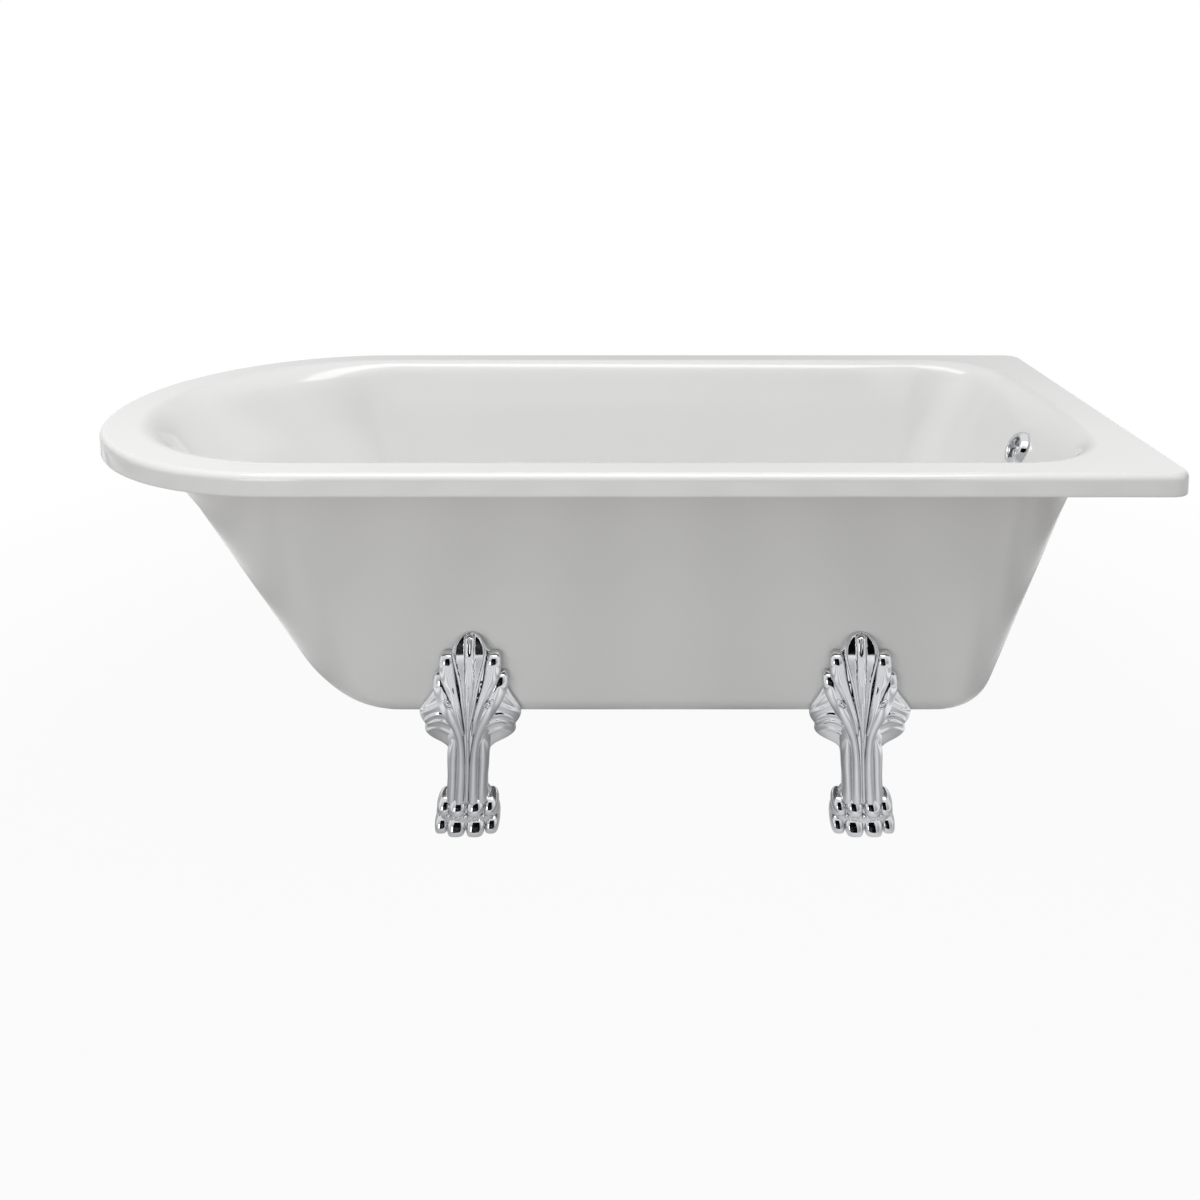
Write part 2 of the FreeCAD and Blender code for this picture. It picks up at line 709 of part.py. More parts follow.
def leaf_blade():
    """The middle lobe with its raised rib, standing off the skin from the knee to the tip."""
    knee, tip = mm("knee_rise"), mm("foot_rise")
    foot = skin_half(knee) + mm("leaf_play")
    head = skin_half(tip) + mm("leaf_play")
    profile = [(-1.0, 0.3), (-0.72, 0.85), (-0.26, 0.74), (0.0, 1.0), (0.26, 0.74), (0.72, 0.85), (1.0, 0.3)]
    rings = []
    for share, girth, depth in ((-0.45, 0.9, 0.9), (0.0, 1.35, 1.0), (0.35, 1.1, 0.82), (0.7, 1.0, 0.62),
                                (0.9, 0.66, 0.5), (1.0, 0.2, 0.2)):
        level = knee + (tip - knee) * share
        behind = foot + (head - foot) * share
        half = mm("leaf_wide") / 2 * girth
        ring = [V(half * u, behind + mm("knee_proud") * depth * v, level) for u, v in profile]
        rings.append(ring + [V(half * 0.8, behind, level), V(-half * 0.8, behind, level)])
    return polyhedron(rings)


def foot_shape():
    """One claw foot in its own frame: X across, Y out from the tub's middle, Z up from the floor."""
    middle = mm("foot_spread") / 2
    top = mm("tub_height") - mm("skin_depth")
    bottom = top - mm("saddle_thick")
    shank, front = mm("shank_wide") / 2, middle + mm("shank_out")
    paw, back, high = mm("paw_wide") / 2, front - mm("paw_deep"), mm("paw_high")
    knee = mm("knee_rise")
    out_knee = skin_half(knee) + mm("knee_proud")
    pieces = [column([
        (mm("paw_lift"), paw * 0.86, back + 8, front - 10),
        (high * 0.25, paw * 0.94, back, front - 5),
        (high * 0.65, paw * 0.86, back + 2, front - 6),
        (high, shank * 1.1, back + 14, front - 4)], 10)]
    pieces.append(column([
        (high * 0.8, shank, back + 22, front),
        (high * 1.6, shank * 0.94, back + 30, front + 2),
        (bottom * 0.85, shank * 1.05, back + 34, front + 12),
        (top - 3, shank * 1.5, back + 36, out_knee - 6)], 16, 3.0))
    pieces.append(leaf_blade())
    wing = mm("wing_wide") / 2
    lobes = (((20, bottom + 8), (wing * 0.96, knee - 26), 46, 30), ((16, bottom), (wing * 0.5, bottom - 14), 36, 28),
             ((12, knee - 22), (wing * 0.72, knee + 20), 32, 34), ((12, knee), (wing * 0.56, knee + 54), 27, 28))
    for side in (-1, 1):
        for (u0, z0), (u1, z1), wide, deep in lobes:
            pieces.append(petal((side * u0, z0), (side * u1, z1), wide, deep))
    for low, tall, out, narrow in ((mm("paw_lift"), 0.54, front - 6, 1.0), (high * 0.47, 0.53, front - 9, 0.88)):
        for i in (-1.5, -0.5, 0.5, 1.5):
            centre = splay(low) + paw * 0.5 * narrow * i
            pieces.append(toe(centre, out - 6 * (abs(i) - 0.5), low, low + high * tall, paw * 0.3, 15))
    wide, deep = mm("saddle_wide"), mm("saddle_deep")
    pieces.append(Part.makeBox(wide, deep, mm("saddle_thick"), V(-wide / 2, front - 8 - deep, bottom)))
    boss = mm("boss_deep")
    pieces.append(Part.makeBox(wide, boss, mm("saddle_thick") + mm("skin_thick"),
                               V(-wide / 2, middle - mm("bolt_back") - boss / 2, bottom)))
    shape = pieces[0].multiFuse(pieces[1:])
    for tool in foot_tools(middle, top, front):
        shape = shape.cut(tool)
    return shape.removeSplitter()


def foot_tools(middle, top, front):
    """What the fused casting loses: the skin's room, the bolt slots and the leveller's seat."""
    reach = mm("tub_width")
    knee, rise = mm("knee_rise"), mm("foot_rise")
    lean = [V(-reach, 0, top), V(-reach, skin_half(knee) - 6, top), V(-reach, skin_half(knee) + mm("leaf_play"), knee),
            V(-reach, skin_half(rise) + mm("leaf_play"), rise), V(-reach, skin_half(rise), rise * 2),
            V(-reach, 0, rise * 2)]
    wall = Part.Face(Part.makePolygon(lean + lean[:1])).extrude(ACROSS * reach * 2)
    boss = mm("boss_deep")
    wall = wall.cut(Part.makeBox(mm("saddle_wide"), boss, mm("skin_thick") + top,
                                 V(-mm("saddle_wide") / 2, middle - mm("bolt_back") - boss / 2, 0)))
    tools = [wall, Part.makeBox(reach * 2, reach, reach, V(-reach, 0, mm("paw_lift") - reach))]
    slot = mm("bolt_dia") + mm("bolt_play")
    for side in (-1, 1):
        corner = V(side * mm("bolt_apart") / 2 - slot / 2, middle - mm("bolt_back") - slot / 2, top - mm("saddle_thick") - 1)
        tools.append(Part.makeBox(slot, slot, mm("saddle_thick") * 2, corner))
    seat = V(splay(0), front - mm("paw_deep") / 2, 0)
    flats = mm("pad_flats") + mm("pad_play") * 2
    points = [seat + V(math.cos(math.radians(60 * i)), math.sin(math.radians(60 * i)), 0) * (flats / math.sqrt(3))
              for i in range(6)]
    pocket = Part.Face(Part.makePolygon(points + points[:1]))
    tools.append(pocket.extrude(UP * (mm("pad_high") + mm("pad_play"))))
    tools.append(Part.makeCylinder(mm("stud_dia") / 2 + mm("run_play"), mm("pad_high") + mm("stud_long") + 5, seat))
    return tools


FEET = [(f"{face}_{end}", sign, index) for face, sign in (("front", -1), ("rear", 1))
        for index, end in enumerate(("left", "right"))]


def leveller_point(sign, index):
    """Where a leveller stands: under the paw, which leans out from its foot's middle."""
    x = foot_xs()[index] + size("foot_splay") * (2 * index - 1)
    return x, (size("foot_spread") / 2 + size("shank_out") - size("paw_deep") / 2) * sign


def make_feet():
    """Two castings, one the mirror of the other, each used on both sides."""
    right = foot_shape()
    left = right.mirror(V(0, 0, 0), ACROSS)
    feet = []
    for label, sign, index in FEET:
        leans_right = (index == 1) == (sign > 0)
        item = doc.addObject("Part::Feature", f"claw_foot_{label}")
        item.Label = f"claw_foot_{label}"
        item.Shape = right if leans_right else left
        place = foot_xs()[index]
        item.Placement = FreeCAD.Placement(V(place.value, 0, 0), FreeCAD.Rotation(UP, 0 if sign > 0 else 180))
        item.setExpression("Placement.Base.x", place.text)
        feet.append(item)
    return feet


def make_foot_bolts():
    """Eight hexagon bolts up through the saddles into the board, as one node."""
    under = size("tub_height") - size("skin_depth")
    low = under - size("saddle_thick")
    long = size("saddle_thick") + size("skin_thick") + size("bolt_bite")
    bolts = []
    for i, (x, y) in enumerate(bolt_points()):
        head = hexagon(f"bolt_head_{i}", (x, y, low - size("bolt_head_high")), size("bolt_flats"),
                       size("bolt_head_high"))
        bolts.append(joined(f"bolt_{i}", [head, cylinder(f"bolt_shank_{i}", (x, y, low), size("bolt_dia"), long)]))
    return joined("foot_bolts", bolts, "Compound")


def make_levellers():
    """A hexagon pad on a stud under each paw."""
    items = []
    for label, sign, index in FEET:
        x, y = leveller_point(sign, index)
        items.append(joined(f"leveller_{label}", [
            hexagon(f"pad_{label}", (x, y, ZERO), size("pad_flats"), size("pad_high")),
            cylinder(f"stud_{label}", (x, y, size("pad_high") - 1), size("stud_dia"), size("stud_long"))]))
    return items


# ---------------------------------------------------------------- waste and plug


def side_pad(body, name, level, dia, start, end, kind="Pad"):
    """A round pad or pocket along X at a level, between two distances from the axis."""
    sketch = new_sketch(body, name + "_plan", start, "YZ_Plane")
    sketch.addGeometry(Part.Circle(V(0, level.value, 0), UP, dia.value / 2), False)
    constrain(sketch, [("Diameter", 0, dia), ("PointOnObject", 0, 3, -2), axis_rule("DistanceY", 0, 3, level)])
    return pad(body, name, sketch, end - start, kind, kind == "Pocket")


def waste_face():
    """Level of the waste flange's underside, on its seal."""
    return size("tub_height") - size("well_depth") + size("waste_seal")


def make_waste():
    """Chrome flange with its spider, and the plastic body below the floor."""
    face = waste_face()
    tube, bore, rim = size("waste_tube") / 2, size("waste_bore") / 2, size("waste_flange_dia") / 2
    body_top = floor_under() - size("waste_seal_low")
    low_bore = body_top - size("waste_socket")
    tube_end = low_bore + size("seat_play")
    crest = face + size("waste_flange_rise")
    flange = turned("waste_flange", [
        (bore, tube_end), (tube, tube_end), (tube, face), (rim, face), (rim, crest), (bore, crest)])
    hub_low = tube_end + 2
    arms = new_sketch(flange, "arm_plan", hub_low)
    rectangle(arms, ZERO, ZERO, size("arm_wide"), size("waste_bore") + 2)
    pad(flange, "arm", arms, size("hub_high"))
    centre = [(ZERO, ZERO)]
    pad(flange, "hub", circles_sketch(flange, "hub_plan", hub_low, centre, size("hub_dia")), size("hub_high"))
    stem_hole = circles_sketch(flange, "stem_bore_plan", hub_low, centre, size("stem_dia") + size("run_play") * 2)
    pad(flange, "stem_bore", stem_hole, size("hub_high"), "Pocket", True)
    chamber = size("waste_chamber") / 2
    tail, tail_bore = size("waste_tail") / 2, size("waste_tail_bore") / 2
    socket = tube + size("seat_play")
    shoulder = body_top - size("waste_chamber_high")
    foot = body_top - size("waste_drop")
    body = turned("waste_body", [
        (tail_bore, foot), (tail, foot), (tail, shoulder), (chamber, shoulder), (chamber, body_top),
        (socket, body_top), (socket, low_bore), (tail_bore, low_bore)])
    level = size("spigot_level")
    reach = chamber + size("spigot_long")
    side_pad(body, "spigot", level, size("spigot_dia"), chamber - 1, reach)
    side_pad(body, "spigot_bore", level, size("spigot_bore"), tail_bore - 1, reach, "Pocket")
    for item in (flange, body):
        put(item, waste_x(), ZERO, ZERO)
    return [flange, body]


def make_plug():
    """The plug that lifts out of the waste: cap and stem."""
    low = waste_face() + size("waste_flange_rise") + size("plug_gap")
    cap = cylinder("plug_cap", (waste_x(), ZERO, low), size("plug_dia"), size("plug_thick"))
    stem = cylinder("plug_stem", (waste_x(), ZERO, low - size("stem_long")), size("stem_dia"), size("stem_long"))
    return [cap, stem]


# ---------------------------------------------------------------- overflow


def wall_through():
    """The tap-end wall's thickness at right angles to it."""
    slope = overflow_slope()
    return size("shell_thick") / (ONE + slope * slope).root()


def gasket_low():
    return -wall_through() - size("overflow_seal")


def make_overflow():
    """Chrome ring, bars and screw inside the well; plastic body outside the wall."""
    base, front = size("overflow_base") / 2, size("overflow_front") / 2
    mouth, lift = size("overflow_mouth") / 2, size("overflow_lift")
    top = lift + size("overflow_proud")
    ring = turned("overflow_ring", [(mouth, lift), (base, lift), (front, top), (mouth, top)])
    bar, bar_low = size("overflow_bar"), lift + 1
    bars = new_body("overflow_bars")
    reach = (mouth * mouth * 4 - bar * bar).root() - size("seat_play") * 2
    for name, wide, high in (("bar_a", bar, reach), ("bar_b", reach, bar)):
        sketch = new_sketch(bars, name + "_plan", bar_low)
        rectangle(sketch, ZERO, ZERO, wide, high)
        pad(bars, name, sketch, size("overflow_bar_thick"))
    centre = [(ZERO, ZERO)]
    screw_play = size("screw_dia") + size("seat_play") * 2
    pad(bars, "bar_bore", circles_sketch(bars, "bar_bore_plan", bar_low, centre, screw_play),
        size("overflow_bar_thick"), "Pocket", True)
    box = new_body("overflow_body")
    back = gasket_low() - size("overflow_body_deep")
    plan = new_sketch(box, "box_plan", back)
    rectangle(plan, ZERO, ZERO, size("overflow_body_wide"), size("overflow_body_wide"))
    pad(box, "box", plan, size("overflow_body_deep"))
    cavity = circles_sketch(box, "cavity_plan", gasket_low(), centre, size("overflow_body_wide") - size("overflow_wall") * 4)
    pad(box, "cavity", cavity, size("overflow_body_deep") - size("overflow_wall"), "Pocket")
    outer = size("overflow_body_wide") / 2
    middle = outlet_out()
    end = -outer - size("spigot_long")
    side_pad(box, "outlet", middle, size("spigot_dia"), end, -outer + 1)
    side_pad(box, "outlet_bore", middle, size("spigot_bore"), end, -outer + size("overflow_wall") * 3, "Pocket")
    pad(box, "screw_bore", circles_sketch(box, "screw_bore_plan", back, centre, screw_play),
        size("overflow_wall"), "Pocket", True)
    head = bar_low + size("overflow_bar_thick")
    shank = cylinder("screw_shank", (ZERO, ZERO, back), size("screw_dia"), head - back)
    cap = cylinder("screw_cap", (ZERO, ZERO, head), size("screw_head"), size("screw_head_high"))
    items = [ring, bars, box, joined("overflow_screw", [shank, cap])]
    for item in items:
        at_overflow(item)
    return items


def make_seals():
    """The rubber rings of the waste and the overflow, as one node."""
    rings = []
    lower = floor_under() - size("waste_seal_low")
    for name, where, dia, high in (
            ("seal_top", (waste_x(), ZERO, waste_face() - size("waste_seal")), size("waste_flange_dia") - 2,
             size("waste_seal")),
            ("seal_low", (waste_x(), ZERO, lower), size("waste_chamber"), size("waste_seal_low")),
            ("seal_over", (ZERO, ZERO, gasket_low()), size("overflow_body_wide"), size("overflow_seal"))):
        disc = cylinder(name + "_disc", where, dia, high)
        rings.append(cut(name, disc, cylinder(name + "_bore", where, dia - size("seal_wide") * 2, high)))
    at_overflow(rings[-1])
    return joined("rubber_seals", rings, "Compound")


def outlet_out():
    """How far the outlet's axis lies from the wall's inner face (negative: outside)."""
    return gasket_low() - size("outlet_back")


def hose_corner():
    """Where the hose's straight runs would meet: x at the waste's level, then the point by the wall."""
    upper = overflow_point(-size("hose_lead"), outlet_out())
    slope = (size("heel_tap") - size("waist_tap")) / (size("heel_drop") - size("waist_drop"))
    return upper[0] - slope * (upper[1] - size("spigot_level")), upper


def bend(corner, came, goes, radius):
    """The arc that rounds a corner of the path, and its first and last points along the path."""
    turn = came.getAngle(goes)
    back = radius * math.tan(turn / 2)
    first, last = corner - came * back, corner + goes * back
    left = came.cross(goes).z > 0
    centre = first + UP.cross(came) * (radius if left else -radius)
    start, end = (first, last) if left else (last, first)
    angles = [math.degrees(math.atan2(point.y - centre.y, point.x - centre.x)) for point in (start, end)]
    if angles[1] < angles[0]:
        angles[1] += 360
    return arc(centre.x, centre.y, radius, *angles), first, last, left


def make_hose():
    """The overflow hose: three straight runs joined by two arcs, on the middle plane."""
    start = overflow_point(-size("overflow_body_wide") / 2 - size("clip_thick"), outlet_out())
    foot_x, knee = hose_corner()
    level = size("spigot_level")
    end_x = waste_x() + size("waste_chamber") / 2 + size("clip_thick")
    points = [V(x.value, z.value, 0) for x, z in (start, knee, (foot_x, level), (end_x, level))]
    radii = [size("hose_sweep"), size("hose_elbow")]
    shapes, rules, previous = [], [], points[0]
    for i, (corner, radius, ahead) in enumerate(zip(points[1:3], radii, points[2:4])):
        came, goes = (corner - previous).normalize(), (ahead - corner).normalize()
        curve, first, last, left = bend(corner, came, goes, radius.value)
        shapes += [Part.LineSegment(previous, first), curve]
        near, far = (1, 2) if left else (2, 1)
        rules += [("Tangent", 2 * i, 2, 2 * i + 1, near), ("Tangent", 2 * i + 1, far, 2 * i + 2, 1),
                  ("Radius", 2 * i + 1, radius)]
        previous = last
    shapes.append(Part.LineSegment(previous, points[3]))
    for i, (x, z) in enumerate((knee, (foot_x, level))):
        rules += [axis_rule("DistanceX", 5 + i, 1, x), axis_rule("DistanceY", 5 + i, 1, z),
                  ("PointOnObject", 5 + i, 1, 2 * i), ("PointOnObject", 5 + i, 1, 2 * i + 2)]
    rules += [("Horizontal", 4), axis_rule("DistanceX", 0, 1, start[0]), axis_rule("DistanceY", 0, 1, start[1]),
              axis_rule("DistanceX", 4, 2, end_x)]
    body = new_body("overflow_hose")
    path = new_sketch(body, "hose_path", role="XZ_Plane")
    path.addGeometry(shapes, False)
    path.addGeometry([Part.Point(points[1]), Part.Point(points[2])], True)
    constrain(path, rules)
    doc.recompute()
    for kind, name, dia in (("Additive", "hose_wall", size("hose_dia")),
                            ("Subtractive", "hose_bore", size("hose_dia") - size("hose_wall") * 2)):
        ring = body.newObject("Sketcher::SketchObject", name + "_plan")
        ring.AttachmentSupport = [(path, "Edge1")]
        ring.MapMode = "NormalToEdge"
        ring.MapPathParameter = 0
        ring.addGeometry(Part.Circle(V(0, 0, 0), UP, dia.value / 2), False)
        constrain(ring, [("Diameter", 0, dia), ("Coincident", 0, 3, -1, 1)])
        pipe = body.newObject(f"PartDesign::{kind}Pipe", name)
        pipe.Profile = ring
        pipe.Spine = (path, [f"Edge{i + 1}" for i in range(5)])
        doc.recompute()
    return body


def make_hose_clips():
    """A band clip with its screw housing on each end of the hose, as one node."""
    bore = size("hose_dia") + size("seat_play") * 2
    outer = bore + size("clip_thick") * 2
    along = size("clip_wide") / 2
    clips = []
    for label in ("top", "low"):
        band = cylinder(f"clip_band_{label}", (ZERO, ZERO, -along), outer, size("clip_wide"))
        hole = cylinder(f"clip_bore_{label}", (ZERO, ZERO, -along), bore, size("clip_wide"))
        ring = cut(f"clip_ring_{label}", band, hole)
        housing = primitive("Box", f"clip_screw_{label}", (-size("clip_screw"), outer / 2 - 0.6, -along),
                            Length=size("clip_screw") * 2, Width=size("clip_screw"), Height=size("clip_wide"))
        clips.append(joined(f"clip_{label}", [ring, housing]))
    top = overflow_point(-(size("overflow_body_wide") + size("spigot_long")) / 2, outlet_out())
    low = waste_x() + (size("waste_chamber") + size("spigot_long")) / 2, size("spigot_level")
    lean = math.degrees(math.atan(overflow_slope().value))
    for clip, (x, z), turn in ((clips[0], top, lean), (clips[1], low, 90)):
        clip.Placement = FreeCAD.Placement(V(x.value, 0, z.value), FreeCAD.Rotation(V(0, 1, 0), turn))
        clip.setExpression("Placement.Base.x", x.text)
        clip.setExpression("Placement.Base.z", z.text)
    clips[0].setExpression("Placement.Rotation.Angle", f"atan({overflow_slope().text})")
    return joined("hose_clips", clips, "Compound")


# ---------------------------------------------------------------- build


def main():
    parts = [make_inner_tub(), make_outer_skin(), make_base_board(), make_rim_battens()]
    parts += make_feet() + [make_foot_bolts()] + make_levellers()
    parts += make_waste() + make_plug() + make_overflow() + [make_seals(), make_hose(), make_hose_clips()]
    doc.recompute()
    for item in doc.Objects:
        if "Invalid" in item.State or "Error" in item.State:
            raise ValueError(f"{item.Name}: {item.State}")
    os.makedirs("parts", exist_ok=True)
    for part in parts:
        if part.Shape.isNull() or not part.Shape.isValid():
            raise ValueError(f"{part.Label} has no valid shape")
        part.Shape.exportStep(f"parts/{part.Label}.step")


main()
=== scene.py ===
"""A single-ended acrylic bath on four chromed claw feet, dressed for rendering.

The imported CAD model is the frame.  The two shells, the four feet, the plug's cap and the face
of the overflow are rebuilt here as finer meshes on the same sizes, and the nodes that stay
keep their CAD shape with a finish of their own.  Sizes in the classes of the pieces are
millimetres, sizes of the studio and all meshes are metres.
"""

import json
import logging
import math
from dataclasses import dataclass
from enum import Enum
from typing import Callable, Sequence

import bmesh
import bpy
from mathutils import Matrix, Vector

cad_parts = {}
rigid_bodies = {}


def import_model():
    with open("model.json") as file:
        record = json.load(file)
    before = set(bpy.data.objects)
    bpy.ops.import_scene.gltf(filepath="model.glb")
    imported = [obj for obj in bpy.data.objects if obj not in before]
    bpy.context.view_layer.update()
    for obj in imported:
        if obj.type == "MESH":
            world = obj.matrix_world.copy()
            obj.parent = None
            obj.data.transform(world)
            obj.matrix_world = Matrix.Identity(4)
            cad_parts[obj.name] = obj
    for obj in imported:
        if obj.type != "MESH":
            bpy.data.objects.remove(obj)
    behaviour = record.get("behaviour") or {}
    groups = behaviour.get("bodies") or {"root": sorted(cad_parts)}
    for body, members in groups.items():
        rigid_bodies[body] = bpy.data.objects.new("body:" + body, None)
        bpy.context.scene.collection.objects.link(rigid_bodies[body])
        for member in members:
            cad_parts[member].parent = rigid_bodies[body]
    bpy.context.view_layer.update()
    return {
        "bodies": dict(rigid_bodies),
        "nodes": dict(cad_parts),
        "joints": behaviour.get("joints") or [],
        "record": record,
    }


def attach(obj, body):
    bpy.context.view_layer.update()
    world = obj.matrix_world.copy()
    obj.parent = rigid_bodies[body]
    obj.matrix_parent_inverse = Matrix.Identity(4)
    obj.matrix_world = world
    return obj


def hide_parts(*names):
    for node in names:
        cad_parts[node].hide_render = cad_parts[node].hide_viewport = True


logging.basicConfig(level=logging.INFO, format="%(message)s")
log = logging.getLogger("bath")

MM = 0.001
TUB_BODY = "tub"

# Places that more than one piece shares, in mm: the waste, and the feet along the bath.
WASTE_X = 455
FOOT_PLACES = {"left": -198, "right": 395}
# Sheet thickness of the rim and the deck, in mm.
DECK_THICK = 5

Ring = list[Vector]
Point = tuple[float, float, float]
Table = Sequence[tuple[float, ...]]


# ------------------------------------------------------------------ colour and nodes


def srgb(code: str) -> tuple[float, float, float, float]:
    """Turn an sRGB hex colour into linear RGBA.

    Args:
        code: six hex digits after a #.

    Returns:
        Linear red, green and blue, and an alpha of 1.
    """
    channels = [int(code[i:i + 2], 16) / 255 for i in (1, 3, 5)]
    linear = [c / 12.92 if c <= 0.04045 else ((c + 0.055) / 1.055) ** 2.4 for c in channels]
    return (*linear, 1.0)


class Graph:
    """The node tree of a material, with its shader in place, or of the world."""

    def __init__(self, name: str, world: bpy.types.World | None = None) -> None:
        """Empty the world's tree, or make a material and join a shader to its output.

        Args:
            name: the new material's name.
            world: the world, if the tree is the world's.
        """
        self.material = world or bpy.data.materials.new(name)
        self.material.use_nodes = True
        self.tree = self.material.node_tree
        self.tree.nodes.clear()
        if world is None:
            self.shader = self.add("ShaderNodeBsdfPrincipled")
            self.add("ShaderNodeOutputMaterial", inputs={"Surface": self.shader.outputs[0]})

    def add(self, kind: str, settings: dict[str, object] | None = None,
            inputs: dict[str | int, object] | None = None) -> bpy.types.Node:
        """Add a node with its settings and fill its inputs.

        Args:
            kind: the node's type name.
            settings: attributes set on the node itself.
            inputs: a constant, or the output that feeds it, for each input.

        Returns:
            The new node.
        """
        node = self.tree.nodes.new(kind)
        for name, value in (settings or {}).items():
            setattr(node, name, value)
        self.fill(node, inputs or {})
        return node

    def fill(self, node: bpy.types.Node, inputs: dict[str | int, object]) -> None:
        """Set or link a node's inputs.

        Args:
            node: the node.
            inputs: a constant, or the output that feeds it, for each input.
        """
        for name, value in inputs.items():
            if isinstance(value, bpy.types.NodeSocket):
                self.tree.links.new(value, node.inputs[name])
            else:
                node.inputs[name].default_value = value


def per_metre(size_mm: float) -> float:
    """The noise scale whose features are about size_mm across."""
    return 1.0 / (size_mm * MM)


# ------------------------------------------------------------------ finishes


@dataclass(frozen=True)
class Finish:
    """A finish made of a two-tone mottle, a roughness range and a fine relief.

    Most of the bath's materials are even to the eye, and differ in how glossy they are, how
    far their tone drifts, and what grain or waviness their making leaves.
    """

    name: str
    light: str
    shade: str
    drift_mm: float
    smooth: float
    rough: float
    relief_mm: float
    relief_deep_mm: float
    metallic: float = 0.0
    ior: float = 1.5
    coat: float = 0.0

    def build(self) -> bpy.types.Material:
        """Make the material.

        Returns:
            The new material.
        """
        graph = Graph(self.name)
        where = graph.add("ShaderNodeTexCoord").outputs["Object"]
        drift = self.tone(graph, where)
        colour = graph.add("ShaderNodeMix", {"data_type": "RGBA"}, {
            0: drift, 6: srgb(self.light), 7: srgb(self.shade)})
        patches = graph.add("ShaderNodeTexNoise", inputs={
            "Vector": where, "Scale": per_metre(self.drift_mm * 0.6), "Detail": 3.0})
        gloss = graph.add("ShaderNodeMapRange", inputs={
            "Value": patches.outputs["Fac"], "To Min": self.smooth, "To Max": self.rough})
        bump = graph.add("ShaderNodeBump", inputs={
            "Height": self.relief(graph, where), "Distance": self.relief_deep_mm * MM})
        graph.fill(graph.shader, {
            "Base Color": colour.outputs[2], "Roughness": gloss.outputs["Result"],
            "Normal": bump.outputs["Normal"], "Metallic": self.metallic})
        if not self.metallic:
            graph.fill(graph.shader, {"IOR": self.ior, "Coat Weight": self.coat, "Coat Roughness": 0.04})
        return graph.material

    def tone(self, graph: Graph, where: bpy.types.NodeSocket) -> bpy.types.NodeSocket:
        """The factor between the two tones.

        Args:
            graph: the material's graph.
            where: the surface point.

        Returns:
            A factor from 0 to 1.
        """
        return graph.add("ShaderNodeTexNoise", inputs={
            "Vector": where, "Scale": per_metre(self.drift_mm), "Detail": 1.0}).outputs["Fac"]

    def relief(self, graph: Graph, where: bpy.types.NodeSocket) -> bpy.types.NodeSocket:
        """The height that the bump follows.

        Args:
            graph: the material's graph.
            where: the surface point.

        Returns:
            A height from 0 to 1.
        """
        return graph.add("ShaderNodeTexNoise", inputs={
            "Vector": where, "Scale": per_metre(self.relief_mm), "Detail": 1.0}).outputs["Fac"]


@dataclass(frozen=True)
class Chipboard(Finish):
    """Pressed wood chips, each its own shade of tan, with a coarse open face."""

    def chips(self, graph: Graph, where: bpy.types.NodeSocket) -> bpy.types.Node:
        """The cells that stand for chips."""
        return graph.add("ShaderNodeTexVoronoi", inputs={"Vector": where, "Scale": per_metre(self.relief_mm)})

    def tone(self, graph: Graph, where: bpy.types.NodeSocket) -> bpy.types.NodeSocket:
        """One shade for each chip."""
        cells = self.chips(graph, where).outputs["Color"]
        return graph.add("ShaderNodeSeparateColor", inputs={0: cells}).outputs[0]

    def relief(self, graph: Graph, where: bpy.types.NodeSocket) -> bpy.types.NodeSocket:
        """Each chip stands a little proud of the gaps round it."""
        return self.chips(graph, where).outputs["Distance"]


@dataclass(frozen=True)
class PlanedSoftwood(Finish):
    """Planed pine, whose growth rings run along the batten in lighter and darker lines."""

    def rings(self, graph: Graph, where: bpy.types.NodeSocket) -> bpy.types.NodeSocket:
        """Growth rings, bent as they are in flat-sawn wood.

        Args:
            graph: the material's graph.
            where: the surface point.

        Returns:
            A factor from 0 to 1.
        """
        return graph.add("ShaderNodeTexWave", {"bands_direction": "Y"}, {
            "Vector": where, "Scale": per_metre(self.relief_mm) / math.tau, "Distortion": 4.0,
            "Detail": 2.0}).outputs["Fac"]

    def tone(self, graph: Graph, where: bpy.types.NodeSocket) -> bpy.types.NodeSocket:
        """Early and late wood."""
        return self.rings(graph, where)

    def relief(self, graph: Graph, where: bpy.types.NodeSocket) -> bpy.types.NodeSocket:
        """Late wood stands proud after planing."""
        return self.rings(graph, where)


@dataclass(frozen=True)
class TurnedMetal(Finish):
    """Metal from the lathe, with fine rings left by the tool that streak its highlights."""

    def relief(self, graph: Graph, where: bpy.types.NodeSocket) -> bpy.types.NodeSocket:
        """Rings about the turning axis."""
        return graph.add("ShaderNodeTexWave", {"bands_direction": "Z"}, {
            "Vector": where, "Scale": per_metre(self.relief_mm) / math.tau}).outputs["Fac"]


class Slot(Enum):
    """The record's material slots."""

    ACRYLIC_INNER = "acrylic_inner"
    ACRYLIC_OUTER = "acrylic_outer"
    BOARD = "board"
    BATTEN = "batten"
    FOOT_CHROME = "foot_chrome"
    TRIM_CHROME = "trim_chrome"
    ZINC_STEEL = "zinc_steel"
    LEVELLER_STEEL = "leveller_steel"
    STEM_BRASS = "stem_brass"
    PIPE_PLASTIC = "pipe_plastic"
    HOSE_PLASTIC = "hose_plastic"
    SEAL_RUBBER = "seal_rubber"


